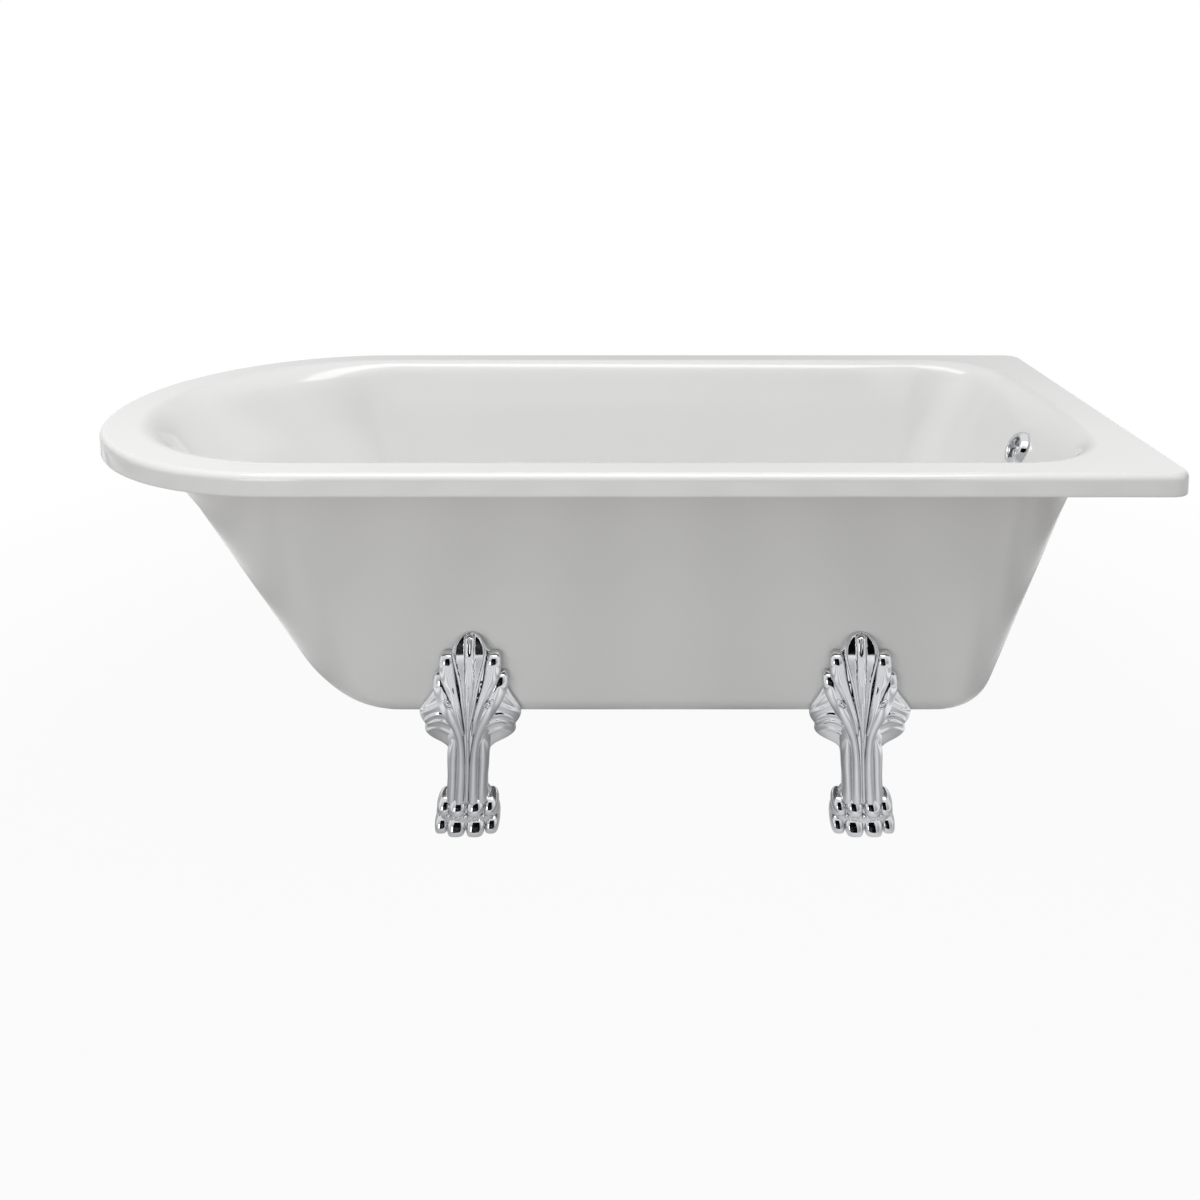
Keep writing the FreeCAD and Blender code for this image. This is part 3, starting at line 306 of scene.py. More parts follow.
FINISHES: dict[Slot, Finish] = {
    # Acrylic sheet drawn hot over a mould: near-glass gloss with a faint long waviness.
    Slot.ACRYLIC_INNER: Finish("acrylic_thermoformed_inner", "#F2F2F1", "#EEEEED", 240, 0.08, 0.13, 110, 0.04,
                               ior=1.49, coat=0.3),
    # The same sheet on the outside, a shade greyer and a little less glossy.
    Slot.ACRYLIC_OUTER: Finish("acrylic_thermoformed_outer", "#ECECEB", "#E7E7E6", 260, 0.16, 0.22, 130, 0.05,
                               ior=1.49, coat=0.2),
    Slot.BOARD: Chipboard("chipboard_pressed", "#C9A678", "#8E6B42", 5, 0.7, 0.85, 5, 0.15),
    Slot.BATTEN: PlanedSoftwood("softwood_planed", "#DBBC8C", "#B98F5B", 12, 0.55, 0.68, 3, 0.05),
    # Chromium over a polished casting: a mirror with the slight orange peel polishing leaves.
    Slot.FOOT_CHROME: Finish("chrome_plated_casting", "#DADBDD", "#CDCFD2", 20, 0.04, 0.10, 7, 0.02,
                             metallic=1.0),
    # Chromium over turned brass: flatter and clearer than on the castings.
    Slot.TRIM_CHROME: Finish("chrome_plated_brass", "#DDDEE0", "#D3D5D8", 12, 0.04, 0.07, 5, 0.005,
                             metallic=1.0),
    # Bright zinc on rolled steel: grey and slightly cloudy.
    Slot.ZINC_STEEL: Finish("steel_zinc_plated", "#C2C5C9", "#A0A4A9", 5, 0.26, 0.42, 1, 0.02, metallic=1.0),
    Slot.LEVELLER_STEEL: Finish("steel_zinc_plated_leveller", "#BABDC1", "#999DA2", 5, 0.28, 0.45, 1, 0.02,
                                metallic=1.0),
    Slot.STEM_BRASS: TurnedMetal("brass_turned", "#CBA85A", "#B48F46", 4, 0.18, 0.3, 1.2, 0.02, metallic=1.0),
    # Injection-moulded polypropylene: satin, from a spark-eroded mould.
    Slot.PIPE_PLASTIC: Finish("polypropylene_moulded", "#EFEFEB", "#E2E2DD", 30, 0.38, 0.48, 0.8, 0.02,
                              ior=1.49),
    # Extruded soft PVC: grey and smooth, with a slight sheen along the ribs.
    Slot.HOSE_PLASTIC: Finish("pvc_extruded", "#A2A4A6", "#8D8F91", 25, 0.32, 0.42, 1.5, 0.02, ior=1.53),
    # Moulded rubber: nearly black and dull, with a dusty bloom.
    Slot.SEAL_RUBBER: Finish("rubber_moulded", "#1B1B1C", "#2B2B2C", 6, 0.6, 0.75, 0.9, 0.03, ior=1.52),
}

CARRIED: dict[Slot, tuple[str, ...]] = {
    Slot.BOARD: ("base_board",),
    Slot.BATTEN: ("rim_battens",),
    Slot.ZINC_STEEL: ("foot_bolts", "hose_clips"),
    Slot.STEM_BRASS: ("plug_stem",),
    Slot.PIPE_PLASTIC: ("waste_body", "overflow_body"),
    Slot.SEAL_RUBBER: ("rubber_seals",),
    Slot.LEVELLER_STEEL: ("leveller_front_left", "leveller_front_right",
                          "leveller_rear_left", "leveller_rear_right"),
    Slot.HOSE_PLASTIC: ("overflow_hose",),
    Slot.TRIM_CHROME: ("waste_flange",),
}


class Palette:
    """The materials, made once and given out by slot."""

    def __init__(self) -> None:
        """Start with nothing made."""
        self.made: dict[Slot, bpy.types.Material] = {}

    def dress(self, item: bpy.types.Object, slot: Slot) -> None:
        """Give an object the finish of a slot.

        Args:
            item: a mesh object.
            slot: the slot that names its finish.
        """
        if slot not in self.made:
            self.made[slot] = FINISHES[slot].build()
        item.data.materials.clear()
        item.data.materials.append(self.made[slot])


# ------------------------------------------------------------------ mesh helpers


def curve_value(table: Table, at: float, column: int = 1) -> float:
    """Read a smooth curve through a table whose first column rises.

    Args:
        table: rows of numbers.
        at: where to read, in the first column.
        column: which column to read.

    Returns:
        The value on a cubic through the rows, or an end value outside them.
    """
    if at <= table[0][0]:
        return table[0][column]
    for i in range(len(table) - 1):
        low, high = table[i], table[i + 1]
        if at <= high[0]:
            gap = high[0] - low[0]
            before, after = table[max(i - 1, 0)], table[min(i + 2, len(table) - 1)]
            rise = (high[column] - before[column]) / (high[0] - before[0])
            fall = (after[column] - low[column]) / (after[0] - low[0])
            t = (at - low[0]) / gap
            return (low[column] * (1 + 2 * t) * (1 - t) ** 2 + rise * gap * t * (1 - t) ** 2
                    + high[column] * t * t * (3 - 2 * t) + fall * gap * t * t * (t - 1))
    return table[-1][column]


def smooth_rows(rows: Table, steps: int = 5) -> list[tuple[float, ...]]:
    """Put rows between the given ones, on a cubic through them all.

    Args:
        rows: stations of equal length.
        steps: how many parts each gap is cut into.

    Returns:
        The finer stations, ends kept.
    """
    fine = []
    for i in range(len(rows) - 1):
        before, low, high = rows[max(i - 1, 0)], rows[i], rows[i + 1]
        after = rows[min(i + 2, len(rows) - 1)]
        for step in range(steps):
            t = step / steps
            fine.append(tuple(
                0.5 * (2 * b + (c - a) * t + (2 * a - 5 * b + 4 * c - d) * t * t
                       + (3 * b - a - 3 * c + d) * t ** 3)
                for a, b, c, d in zip(before, low, high, after)))
    return fine + [tuple(rows[-1])]


def ellipse(centre: Vector, across: Vector, along: Vector, count: int, square: float = 1.0) -> Ring:
    """A ring round a centre.

    Args:
        centre: its middle.
        across: its first half axis.
        along: its second half axis.
        count: number of points.
        square: 1 for an ellipse, less for fuller corners.

    Returns:
        The ring's points.
    """
    ring = []
    for i in range(count):
        cosine, sine = math.cos(math.tau * i / count), math.sin(math.tau * i / count)
        ring.append(centre + across * math.copysign(abs(cosine) ** square, cosine)
                    + along * math.copysign(abs(sine) ** square, sine))
    return ring


def oval(centre: Point, half_x: float, half_y: float, count: int, square: float = 1.0) -> Ring:
    """A level ellipse along X and Y."""
    return ellipse(Vector(centre), Vector((half_x, 0, 0)), Vector((0, half_y, 0)), count, square)


def add_rings(work: bmesh.types.BMesh, rings: Sequence[Ring], looped: bool = False) -> None:
    """Skin rings of equal point counts with quads.

    Args:
        work: the mesh to add to.
        rings: the rings, in order.
        looped: whether the last ring joins the first; if not, both are closed.
    """
    rows = [[work.verts.new(point) for point in ring] for ring in rings]
    if looped:
        rows.append(rows[0])
    for low, high in zip(rows, rows[1:]):
        for i, point in enumerate(low):
            j = (i + 1) % len(low)
            work.faces.new((point, low[j], high[j], high[i]))
    if not looped:
        work.faces.new(rows[0][::-1])
        work.faces.new(rows[-1])


def mesh_object(name: str, fill: Callable[[bmesh.types.BMesh], None]) -> bpy.types.Object:
    """Make a smooth-shaded object from a function that fills a mesh.

    Args:
        name: the piece's name.
        fill: adds the faces, in metres.

    Returns:
        The object, linked to the scene, at the origin.
    """
    work = bmesh.new()
    fill(work)
    bmesh.ops.recalc_face_normals(work, faces=work.faces)
    for face in work.faces:
        face.smooth = True
    mesh = bpy.data.meshes.new(name)
    work.to_mesh(mesh)
    work.free()
    item = bpy.data.objects.new(name, mesh)
    bpy.context.scene.collection.objects.link(item)
    return item


def mate(item: bpy.types.Object, palette: Palette, slot: Slot, nodes: Sequence[str],
         body: str = TUB_BODY) -> None:
    """Dress a piece, let it stand for its nodes, and have it ride on its body.

    Args:
        item: the piece.
        palette: where its material comes from.
        slot: its finish.
        nodes: the CAD nodes it stands for.
        body: the body it moves with.
    """
    palette.dress(item, slot)
    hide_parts(*nodes)
    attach(item, body)
    log.info("%s: %d faces, %s", item.name, len(item.data.polygons), slot.value)


def cut_away(item: bpy.types.Object, cutters: Sequence[bpy.types.Object]) -> None:
    """Take the cutters out of an object's mesh and delete them.

    Args:
        item: the object that is cut.
        cutters: closed meshes, at their places.
    """
    for cutter in cutters:
        modifier = item.modifiers.new("cut", "BOOLEAN")
        modifier.operation = "DIFFERENCE"
        modifier.solver = "EXACT"
        modifier.object = cutter
    bpy.context.view_layer.update()
    mesh = bpy.data.meshes.new_from_object(item.evaluated_get(bpy.context.evaluated_depsgraph_get()))
    item.modifiers.clear()
    item.data = mesh
    for cutter in cutters:
        bpy.data.objects.remove(cutter)


def revolve(name: str, profile: Table, frame: Matrix, count: int = 96,
            closed: bool = True) -> bpy.types.Object:
    """Turn an outline about the Z axis of a frame.

    Args:
        name: the piece's name.
        profile: (radius, height) points in mm.
        frame: where the axis stands, in metres.
        count: points round each ring.
        closed: whether the outline closes on itself, as in a ring.

    Returns:
        The turned object.
    """
    rings = [oval((0, 0, height * MM), radius * MM, radius * MM, count) for radius, height in profile]
    rings = [[frame @ point for point in ring] for ring in rings]
    return mesh_object(name, lambda work: add_rings(work, rings, looped=closed))


def rounded(corners: Table, radius: float) -> list[tuple[float, float]]:
    """Round the corners of a closed outline.

    Args:
        corners: its corner points in mm.
        radius: how far from each corner the rounding starts, at most a third of a side.

    Returns:
        The outline with its roundings.
    """
    points = []
    steps = 5
    for i in range(len(corners)):
        here, last, ahead = (Vector(corners[k % len(corners)]) for k in (i, i - 1, i + 1))
        start = here + (last - here).normalized() * min(radius, (last - here).length / 3)
        end = here + (ahead - here).normalized() * min(radius, (ahead - here).length / 3)
        for step in range(steps + 1):
            t = step / steps
            points.append(tuple(start * (1 - t) ** 2 + here * (2 * t * (1 - t)) + end * t * t))
    return points


# ------------------------------------------------------------------ the two shells


@dataclass(frozen=True)
class Level:
    """One level of a shell: the drop below the rim, insets at head, tap and side, and two corner radii."""

    drop: float
    head: float
    tap: float
    side: float
    head_corner: float
    tap_corner: float

    def grown(self, out: float, down: float = 0.0) -> "Level":
        """The level moved outward and down by parts of a wall's thickness."""
        return Level(self.drop + down, self.head - out, self.tap - out, self.side - out,
                     self.head_corner + out, self.tap_corner + out)

    def towards(self, other: "Level", share: float) -> "Level":
        """The level a share of the way to another."""
        pairs = zip(vars(self).values(), vars(other).values())
        return Level(*(a + (b - a) * share for a, b in pairs))


@dataclass(frozen=True)
class Plan:
    """The bath seen from above: a round head end, straight sides and a squarer tap end."""

    length: float = 1700
    width: float = 780
    height: float = 620
    head_bow: float = 700
    counts: tuple[int, ...] = (44, 14, 22, 14, 44, 26, 30, 26)

    def ring(self, level: Level, tap_bow: float = 0.0) -> Ring:
        """The outline at one level.

        Args:
            level: the level.
            tap_bow: radius of the tap end's bow, or 0 where it is straight.

        Returns:
            Its points in metres, anticlockwise from the near side.
        """
        head, tap = self.length / 2 - level.head, self.length / 2 - level.tap
        half, a, b, bow = self.width / 2 - level.side, level.head_corner, level.tap_corner, self.head_bow
        run_h = math.sqrt((bow - a) ** 2 - (half - a) ** 2)
        turn_h = math.atan2(half - a, run_h)
        head_x = bow - head - run_h
        if tap_bow:
            run_t = math.sqrt((tap_bow - b) ** 2 - (half - b) ** 2)
            turn_t = math.atan2(half - b, run_t)
            tap_x = tap - tap_bow + run_t
            end = self.arc(tap - tap_bow, 0, tap_bow, -turn_t, turn_t, self.counts[2])
        else:
            turn_t, tap_x = 0.0, tap - b
            end = self.line(tap, b - half, tap, half - b, self.counts[2])
        quarter, z = math.pi / 2, self.height - level.drop
        points = self.line(head_x, -half, tap_x, -half, self.counts[0])
        points += self.arc(tap_x, b - half, b, -quarter, -turn_t, self.counts[1]) + end
        points += self.arc(tap_x, half - b, b, turn_t, quarter, self.counts[3])
        points += self.line(tap_x, half, head_x, half, self.counts[4])
        points += self.arc(head_x, half - a, a, quarter, math.pi - turn_h, self.counts[5])
        points += self.arc(bow - head, 0, bow, math.pi - turn_h, math.pi + turn_h, self.counts[6])
        points += self.arc(head_x, a - half, a, math.pi + turn_h, math.pi + quarter, self.counts[7])
        return [Vector((x * MM, y * MM, z * MM)) for x, y in points]

    @staticmethod
    def line(x0: float, y0: float, x1: float, y1: float, count: int) -> list[tuple[float, float]]:
        """Points along a line, without its last one."""
        return [(x0 + (x1 - x0) * i / count, y0 + (y1 - y0) * i / count) for i in range(count)]

    @staticmethod
    def arc(x: float, y: float, radius: float, start: float, end: float,
            count: int) -> list[tuple[float, float]]:
        """Points along an arc, without its last one."""
        turns = [start + (end - start) * i / count for i in range(count)]
        return [(x + radius * math.cos(turn), y + radius * math.sin(turn)) for turn in turns]


PLAN = Plan()


def bezier(first: float, control: float, last: float, t: float) -> float:
    """A point of a quadratic curve."""
    return first * (1 - t) ** 2 + control * 2 * t * (1 - t) + last * t * t


@dataclass
class InnerTub:
    """The rolled rim, the deck and the well, drawn from one acrylic sheet."""

    rim_drop: float = 34
    rim_edge: tuple[tuple[float, float], ...] = ((0, 1.4), (0.4, 0.4), (1.4, 0.0), (4, 0.0))
    edge_round: float = 10
    rim_corners: tuple[float, float] = (384, 32)
    deck: tuple[float, float, float] = (80, 80, 70)
    lip_reach: float = 20
    lip_drop: float = 30
    lip_corners: tuple[float, float] = (325, 150)
    waist: Level = Level(120, 195, 136, 91, 209, 125)
    heel: Level = Level(310, 342, 241, 123, 130, 105)
    depth: float = 393
    floor_reach: float = 60
    floor_corners: tuple[float, float] = (78, 58)
    deck_shares: tuple[float, float] = (0.06, 0.94)
    floor_shares: tuple[float, ...] = (0.15, 0.5, 0.85, 0.98, 1.0)
    bow: float = 1800
    wall: float = 4.5
    waste_hole: float = 52
    overflow_hole: float = 20

    def rim(self) -> list[Level]:
        """The rim from its lower edge up and over to the deck.

        Returns:
            Its levels.
        """
        corner_h, corner_t = self.rim_corners
        levels = [Level(self.rim_drop - drop, *[inset] * 3, corner_h - inset, corner_t - inset)
                  for drop, inset in self.rim_edge]
        levels += [Level(self.edge_round + extra, 0, 0, 0, corner_h, corner_t) for extra in (8, 2)]
        for step in range(11):
            turn = math.radians(9 * step)
            inset = self.edge_round * (1 - math.cos(turn))
            levels.append(Level(self.edge_round * (1 - math.sin(turn)), *[inset] * 3,
                                corner_h - inset, corner_t - inset))
        return levels

    def well(self) -> list[Level]:
        """The inner face from the deck to the floor: lip, wall and heel.

        Returns:
            Its levels.
        """
        levels = []
        waist = (self.waist.head, self.waist.tap, self.waist.side)
        slopes = [(w - d) / self.waist.drop for w, d in zip(waist, self.deck)]
        for step in range(13):
            t = step / 12
            insets = [bezier(d - self.lip_reach, d, d + s * self.lip_drop, t)
                      for d, s in zip(self.deck, slopes)]
            corners = [c - self.lip_reach * t for c in self.lip_corners]
            levels.append(Level(self.lip_drop * t * t, *insets, *corners))
        levels += [levels[-1].towards(self.waist, share / 5) for share in range(1, 6)]
        levels += [self.waist.towards(self.heel, share / 9) for share in range(1, 10)]
        heel = (self.heel.head, self.heel.tap, self.heel.side)
        falls = [(h - w) / (self.heel.drop - self.waist.drop) for h, w in zip(heel, waist)]
        corners = (self.heel.head_corner, self.heel.tap_corner)
        for step in range(1, 15):
            t = step / 14
            controls = [h + f * (self.depth - self.heel.drop) for h, f in zip(heel, falls)]
            insets = [bezier(h, c, c + self.floor_reach, t) for h, c in zip(heel, controls)]
            turned = [a + (b - a) * t for a, b in zip(corners, self.floor_corners)]
            levels.append(Level(bezier(self.heel.drop, self.depth, self.depth, t), *insets, *turned))
        return levels

    def underside(self, levels: list[Level]) -> list[Level]:
        """The well's levels moved out by the wall, square to the slope of each.

        Args:
            levels: the inner face.

        Returns:
            The outer face.
        """
        moved = []
        for i, level in enumerate(levels):
            before, after = levels[max(i - 1, 0)], levels[min(i + 1, len(levels) - 1)]
            run, fall = after.side - before.side, after.drop - before.drop
            size = math.hypot(run, fall)
            moved.append(level.grown(self.wall * fall / size, self.wall * run / size))
        return moved

    def hole(self, ring: Ring, drop: float) -> Ring:
        """A ring round the waste hole that faces the points of another ring.

        Args:
            ring: the ring outside it.
            drop: how far below the rim it lies.

        Returns:
            The hole's edge, point for point.
        """
        middle = Vector((WASTE_X * MM, 0, (PLAN.height - drop) * MM))
        radius = self.waste_hole / 2 * MM
        return [middle + Vector((p.x - middle.x, p.y, 0)).normalized() * radius for p in ring]

    def fill(self, work: bmesh.types.BMesh) -> None:
        """Add the whole sheet: top face, waste hole and underside.

        Args:
            work: the mesh to add to.
        """
        rim, well = self.rim(), self.well()
        rings = [PLAN.ring(level) for level in rim]
        near, far = self.deck_shares
        rings.append(PLAN.ring(rim[-1].towards(well[0], near)))
        rings.append(PLAN.ring(rim[-1].towards(well[0], far), self.bow))
        rings += [PLAN.ring(level, self.bow) for level in well]
        floor = rings[-1]
        edge = self.hole(floor, self.depth)
        rings += [[a.lerp(b, share) for a, b in zip(floor, edge)] for share in self.floor_shares]
        low = [level for level in self.underside(well) if level.drop > DECK_THICK]
        rings.append([point - Vector((0, 0, self.wall * MM)) for point in edge])
        rings += [PLAN.ring(level, self.bow) for level in reversed(low)]
        inner = [level.grown(-DECK_THICK) for level in (rim[4], rim[0])]
        top = Level(DECK_THICK, *[DECK_THICK] * 3, *(c - DECK_THICK for c in self.rim_corners))
        rings += [PLAN.ring(top)] + [PLAN.ring(level) for level in inner]
        add_rings(work, rings, looped=True)

    def build(self, palette: Palette) -> None:
        """Make the tub and cut the hole behind the overflow.

        Args:
            palette: where its material comes from.
        """
        item = mesh_object("inner_tub_shell", self.fill)
        size = self.overflow_hole
        hole = revolve("overflow_cutter", ((size, -size), (size, size)), OVERFLOW, 48, closed=False)
        cut_away(item, [hole])
        mate(item, palette, Slot.ACRYLIC_INNER, ["inner_tub"])


@dataclass
class OuterSkin:
    """The outer shell, bonded under the deck, with windows for the feet and the waste."""

    flange_inset: float = 14
    flange_corners: tuple[float, float] = (370, 18)
    flange_thick: float = 4
    curl: Level = Level(15, 64, 48, 55, 300, 145)
    curl_bend: tuple[tuple[float, float], ...] = ((9, -6), (5.5, -4.5), (2.0, -2.2), (0, 0))
    top: Level = Level(30, 82, 64, 63, 300, 145)
    waist: Level = Level(107, 168, 96, 73, 204, 126)
    foot: Level = Level(420, 382, 213, 104, 80, 70)
    rounds: tuple[float, float, float] = (75, 40, 26)
    round_share: float = 0.8
    bow: float = 820
    wall: float = 4
    window: tuple[float, float] = (121.2, 41.2)
    window_out: float = 222
    slot_end: float = 625
    slot_radius: float = 65
    cut_margin: float = 15

    def levels(self, thick: float) -> list[Level]:
        """The skin from its curl to its underside, moved in by a thickness.

        Args:
            thick: 0 for the outer face, or the wall for the inner one.

        Returns:
            Its levels.
        """
        levels = [self.curl.grown(out - thick, rise) for out, rise in self.curl_bend]
        top = self.top.grown(-thick)
        levels += [levels[-1].towards(top, 0.5), top]
        waist = self.waist.grown(-thick)
        levels += [top.towards(waist, share) for share in (0.33, 0.67)]
        depth = self.foot.drop - thick
        bend = depth - self.rounds[0]
        drops = [self.waist.drop + (bend - self.waist.drop) * share / 8 for share in range(8)]
        drops += [depth - self.rounds[0] * (1 - math.sin(math.radians(6 * step))) for step in range(16)]
        for drop in drops:
            share = (drop - self.waist.drop) / (self.foot.drop - self.waist.drop)
            wall = self.waist.towards(self.foot, share)
            insets = []
            for inset, radius in zip((wall.head, wall.tap, wall.side), self.rounds):
                reach = max((drop - depth + radius - thick) / (radius - thick), 0.0)
                fall = 1 - math.sqrt(max(1 - reach * reach, 0))
                insets.append(inset + thick + (radius - thick) * self.round_share * fall)
            levels.append(Level(drop, *insets, wall.head_corner - thick, wall.tap_corner - thick))
        return levels

    def fill(self, work: bmesh.types.BMesh) -> None:
        """Add one closed wall: up the inner face, over the flange and down the outer face.

        Args:
            work: the mesh to add to.
        """
        outer, inner = self.levels(0.0), self.levels(self.wall)[::-1]
        edge = (self.flange_inset,) * 3 + self.flange_corners
        inside = [PLAN.ring(level, self.bow) for level in inner]
        inside[-1] = [Vector((p.x, p.y, (PLAN.height - DECK_THICK) * MM)) for p in inside[-1]]
        flange = [PLAN.ring(Level(DECK_THICK + down, *edge)) for down in (0, self.flange_thick)]
        outside = [PLAN.ring(level, self.bow) for level in outer]
        add_rings(work, [self.drawn_in(inside[0])] + inside + flange + outside + [self.drawn_in(outside[-1])])

    @staticmethod
    def drawn_in(ring: Ring) -> Ring:
        """The ring drawn a little towards the middle of the bottom."""
        middle = sum(ring, Vector()) / len(ring)
        return [point.lerp(middle, 0.04) for point in ring]

    def outlines(self) -> list[list[tuple[float, float]]]:
        """The openings seen from below: a window for each foot and a slot for the pipes.

        Returns:
            Their outlines in mm.
        """
        half_x, half_y = self.window[0] / 2, self.window[1] / 2
        made = []
        for x in FOOT_PLACES.values():
            for face in (-1, 1):
                made.append([(x + a * half_x, face * self.window_out + b * half_y)
                             for a, b in ((-1, -1), (1, -1), (1, 1), (-1, 1))])
        slot, parts = [], 16
        for place, start in ((self.slot_end, -90), (WASTE_X, 90)):
            for step in range(parts + 1):
                turn = math.radians(start + 180 * step / parts)
                slot.append((place + self.slot_radius * math.cos(turn), self.slot_radius * math.sin(turn)))
        return made + [slot]

    def cutters(self) -> list[bpy.types.Object]:
        """Solids where the bottom is open.

        Returns:
            One closed mesh for each opening.
        """
        bottom = PLAN.height - self.foot.drop
        solids = []
        for i, outline in enumerate(self.outlines()):
            rings = [[Vector((x, y, bottom + way * self.cut_margin)) * MM for x, y in outline]
                     for way in (-1, 1)]
            solids.append(mesh_object(f"skin_cutter_{i}", lambda work, rings=rings: add_rings(work, rings)))
        return solids

    def build(self, palette: Palette) -> None:
        """Make the skin and open its bottom.

        Args:
            palette: where its material comes from.
        """
        item = mesh_object("outer_skin_shell", self.fill)
        cut_away(item, self.cutters())
        mate(item, palette, Slot.ACRYLIC_OUTER, ["outer_skin"])


# ------------------------------------------------------------------ claw feet


@dataclass
class ClawFoot:
    """One cast foot: a leaf with wings over a fluted shank and a paw with two rows of toes.

    The tables hold stations in the foot's own frame: across from its middle, up from the floor
    and out from the middle of the tub.  Sweeps are (across, up, out, half width, half depth),
    and those with an across of their own are used on both sides.  Toes, knuckles and pads are
    (across, up, out) and their half sizes in that order.  The grooves in the middle rib are
    (low end, high end, half width, depth), and a height with two values is a crest and how far
    its root is let in.
    """

    label: str
    place: float
    face: int
    lean_way: int
    face_out: Table = ((0, 290), (70, 287), (100, 289), (140, 296), (160, 302), (180, 309), (200, 315),
                       (237, 321), (270, 321), (300, 319), (320, 316), (335, 311), (344, 304))
    lean: Table = ((0, 17), (67, 14.5), (99, 12.8), (138, 10.5), (182, 6.5), (210, 4.5), (235, 2.5),
                   (264, 0.8), (300, 0))
    blade: Table = ((166, 1.2), (182, 3.2), (196, 5.2), (210, 7.4), (225, 9.6), (243, 12.2), (261, 14.6),
                    (280, 18.6), (296, 22.6), (308, 25.2), (316, 26.0), (324, 25.0), (331, 21.8), (337, 17.0),
                    (341, 11.4), (343.4, 5.0), (344, 0.6))
    second_lobe: Table = (
        (36, 314.6, 303.5, 4, 2.5), (36, 313.4, 305.5, 7.4, 4.6), (35.8, 310, 308, 10.4, 7),
        (35.4, 303, 310.5, 12, 9), (34.6, 292, 311.6, 12.8, 9.8), (33, 279, 312.9, 12.8, 9.8),
        (29.2, 266, 314.5, 10.8, 9), (24.2, 252, 316.8, 8.6, 8.5), (19.4, 238, 318.5, 6.8, 8),
        (14.8, 221, 317.8, 5.4, 7.5), (11.2, 203, 313, 4.2, 7), (8.4, 187, 305.5, 3.2, 6.5),
        (6.6, 176, 300.4, 1.6, 5))
    third_lobe: Table = (
        (46.8, 281, 299.5, 4, 2.5), (46.9, 279.4, 301.5, 7.4, 4.8), (46.4, 275, 304, 10.8, 7.4),
        (44.8, 267, 306, 13.2, 9.4), (42.4, 257, 307.3, 14.2, 10.2), (38.6, 246, 308.5, 14.4, 10.6),
        (34, 234, 310, 13.8, 10.5), (29, 222, 310.5, 12.8, 10),
        (24.2, 210, 308.8, 11.2, 9.5), (20.2, 199, 305.4, 9.6, 9), (16.6, 186, 300.4, 8.2, 8.5),
        (13.6, 172, 294.9, 7.2, 8.5), (11.6, 156, 289.5, 6.8, 8.5), (10.4, 136, 284.5, 7.2, 8.5),
        (10, 112, 281.5, 7.6, 8.5), (10.2, 88, 280, 7.8, 8.5), (10.6, 64, 280, 7.8, 8.5),
        (10.6, 52, 280, 7.6, 8))
    outer_flute: Table = (
        (22.5, 176, 280, 3, 9), (22.4, 160, 281, 7, 10), (23.6, 142, 279, 9, 11), (24.0, 118, 275.5, 8.8, 11),
        (23.6, 92, 274, 8.2, 11), (23.8, 66, 274, 8.4, 11), (24.0, 50, 274, 8.4, 10))
    crest: Table = (
        (0, 180, 304, 1.0, 4), (0, 168, 299.5, 2.2, 5), (0.4, 150, 292.5, 2.6, 5), (0.6, 120, 285.5, 2.8, 5),
        (0.6, 84, 282.5, 2.8, 5), (0.6, 54, 283, 2.8, 5))
    shank: Table = (
        (0, 50, 262, 31, 21), (0, 66, 262, 31, 20), (0, 90, 263, 30.2, 20), (0, 117, 264.5, 30.8, 20.5),
        (0, 134, 266, 32.6, 21), (0, 148, 268, 36, 22), (0, 164, 270, 38, 24), (0, 182, 270, 40, 26),
        (0, 199, 268, 44, 26))
    wing: Table = (
        (134, 31), (140, 34.5), (146, 40), (151, 47), (156, 56), (160, 62), (166, 68), (172, 70.6), (178, 71),
        (183, 70.2), (186, 70.8), (190, 73), (196, 76), (204, 78.2), (210, 78.6), (216, 77.4), (224, 73.6),
        (233, 68), (243, 61.5), (251, 56.6), (258, 51), (264, 44))
    wing_out: Table = ((134, 276), (150, 281), (175, 289), (195, 297), (215, 303), (240, 306), (264, 305))
    folds: tuple[tuple[Table, float, float], ...] = (
        (((20, 198), (32, 205), (42, 208.5), (52, 208), (62, 202), (69, 193), (73, 184)), 3.4, 3.0),
        (((20, 182), (30, 189), (40, 195), (50, 195.5), (60, 190), (67, 184), (72, 179)), 2.8, 2.4),
        (((20, 164), (34, 173), (46, 179), (56, 178.5), (66, 172), (70, 168)), 3.6, 2.0),
        (((20, 240), (36, 232), (50, 223), (62, 216), (72, 211), (78, 208)), 5.0, 2.4),
        (((20, 262), (40, 252), (52, 243), (62, 233), (70, 224)), 5.0, 1.8),
    )
    backing: Table = (
        (150, 30), (180, 28), (205, 32), (222, 40), (236, 47), (248, 51), (258, 52), (268, 49), (276, 45),
        (284, 42), (296, 41), (305, 38), (311, 33), (316, 26), (326, 21), (334, 15), (339, 8), (341, 2))
    backing_out: Table = ((150, 284), (180, 294), (210, 303), (240, 305), (280, 303), (312, 303), (341, 301))
    paw: Table = (
        (0, 1, 250, 44, 27), (0, 4, 250.5, 47.5, 29.5), (0, 9, 252, 49.6, 30.5), (0, 16, 255, 50.4, 29),
        (0, 26, 257, 50.6, 28), (0, 38, 257.5, 48.4, 26.5), (0, 48, 257.5, 43.6, 24), (0, 56, 258, 38, 22),
        (0, 63, 259, 33.6, 20), (0, 69, 260, 30, 18))
    stud_out: float = 244
    stud_bore: tuple[tuple[float, float], ...] = ((49, 6.4), (7.3, 6.4), (7.3, 18), (1, 18))
    toes: Table = ((14.9, 15.0, 275, 15.1, 14.9, 16), (39.2, 14.6, 264, 11.8, 14.4, 19))
    knuckles: Table = ((13.6, 46.6, 273, 15.0, 15.8, 17.5), (35.4, 43.0, 263, 13.0, 16.2, 19))
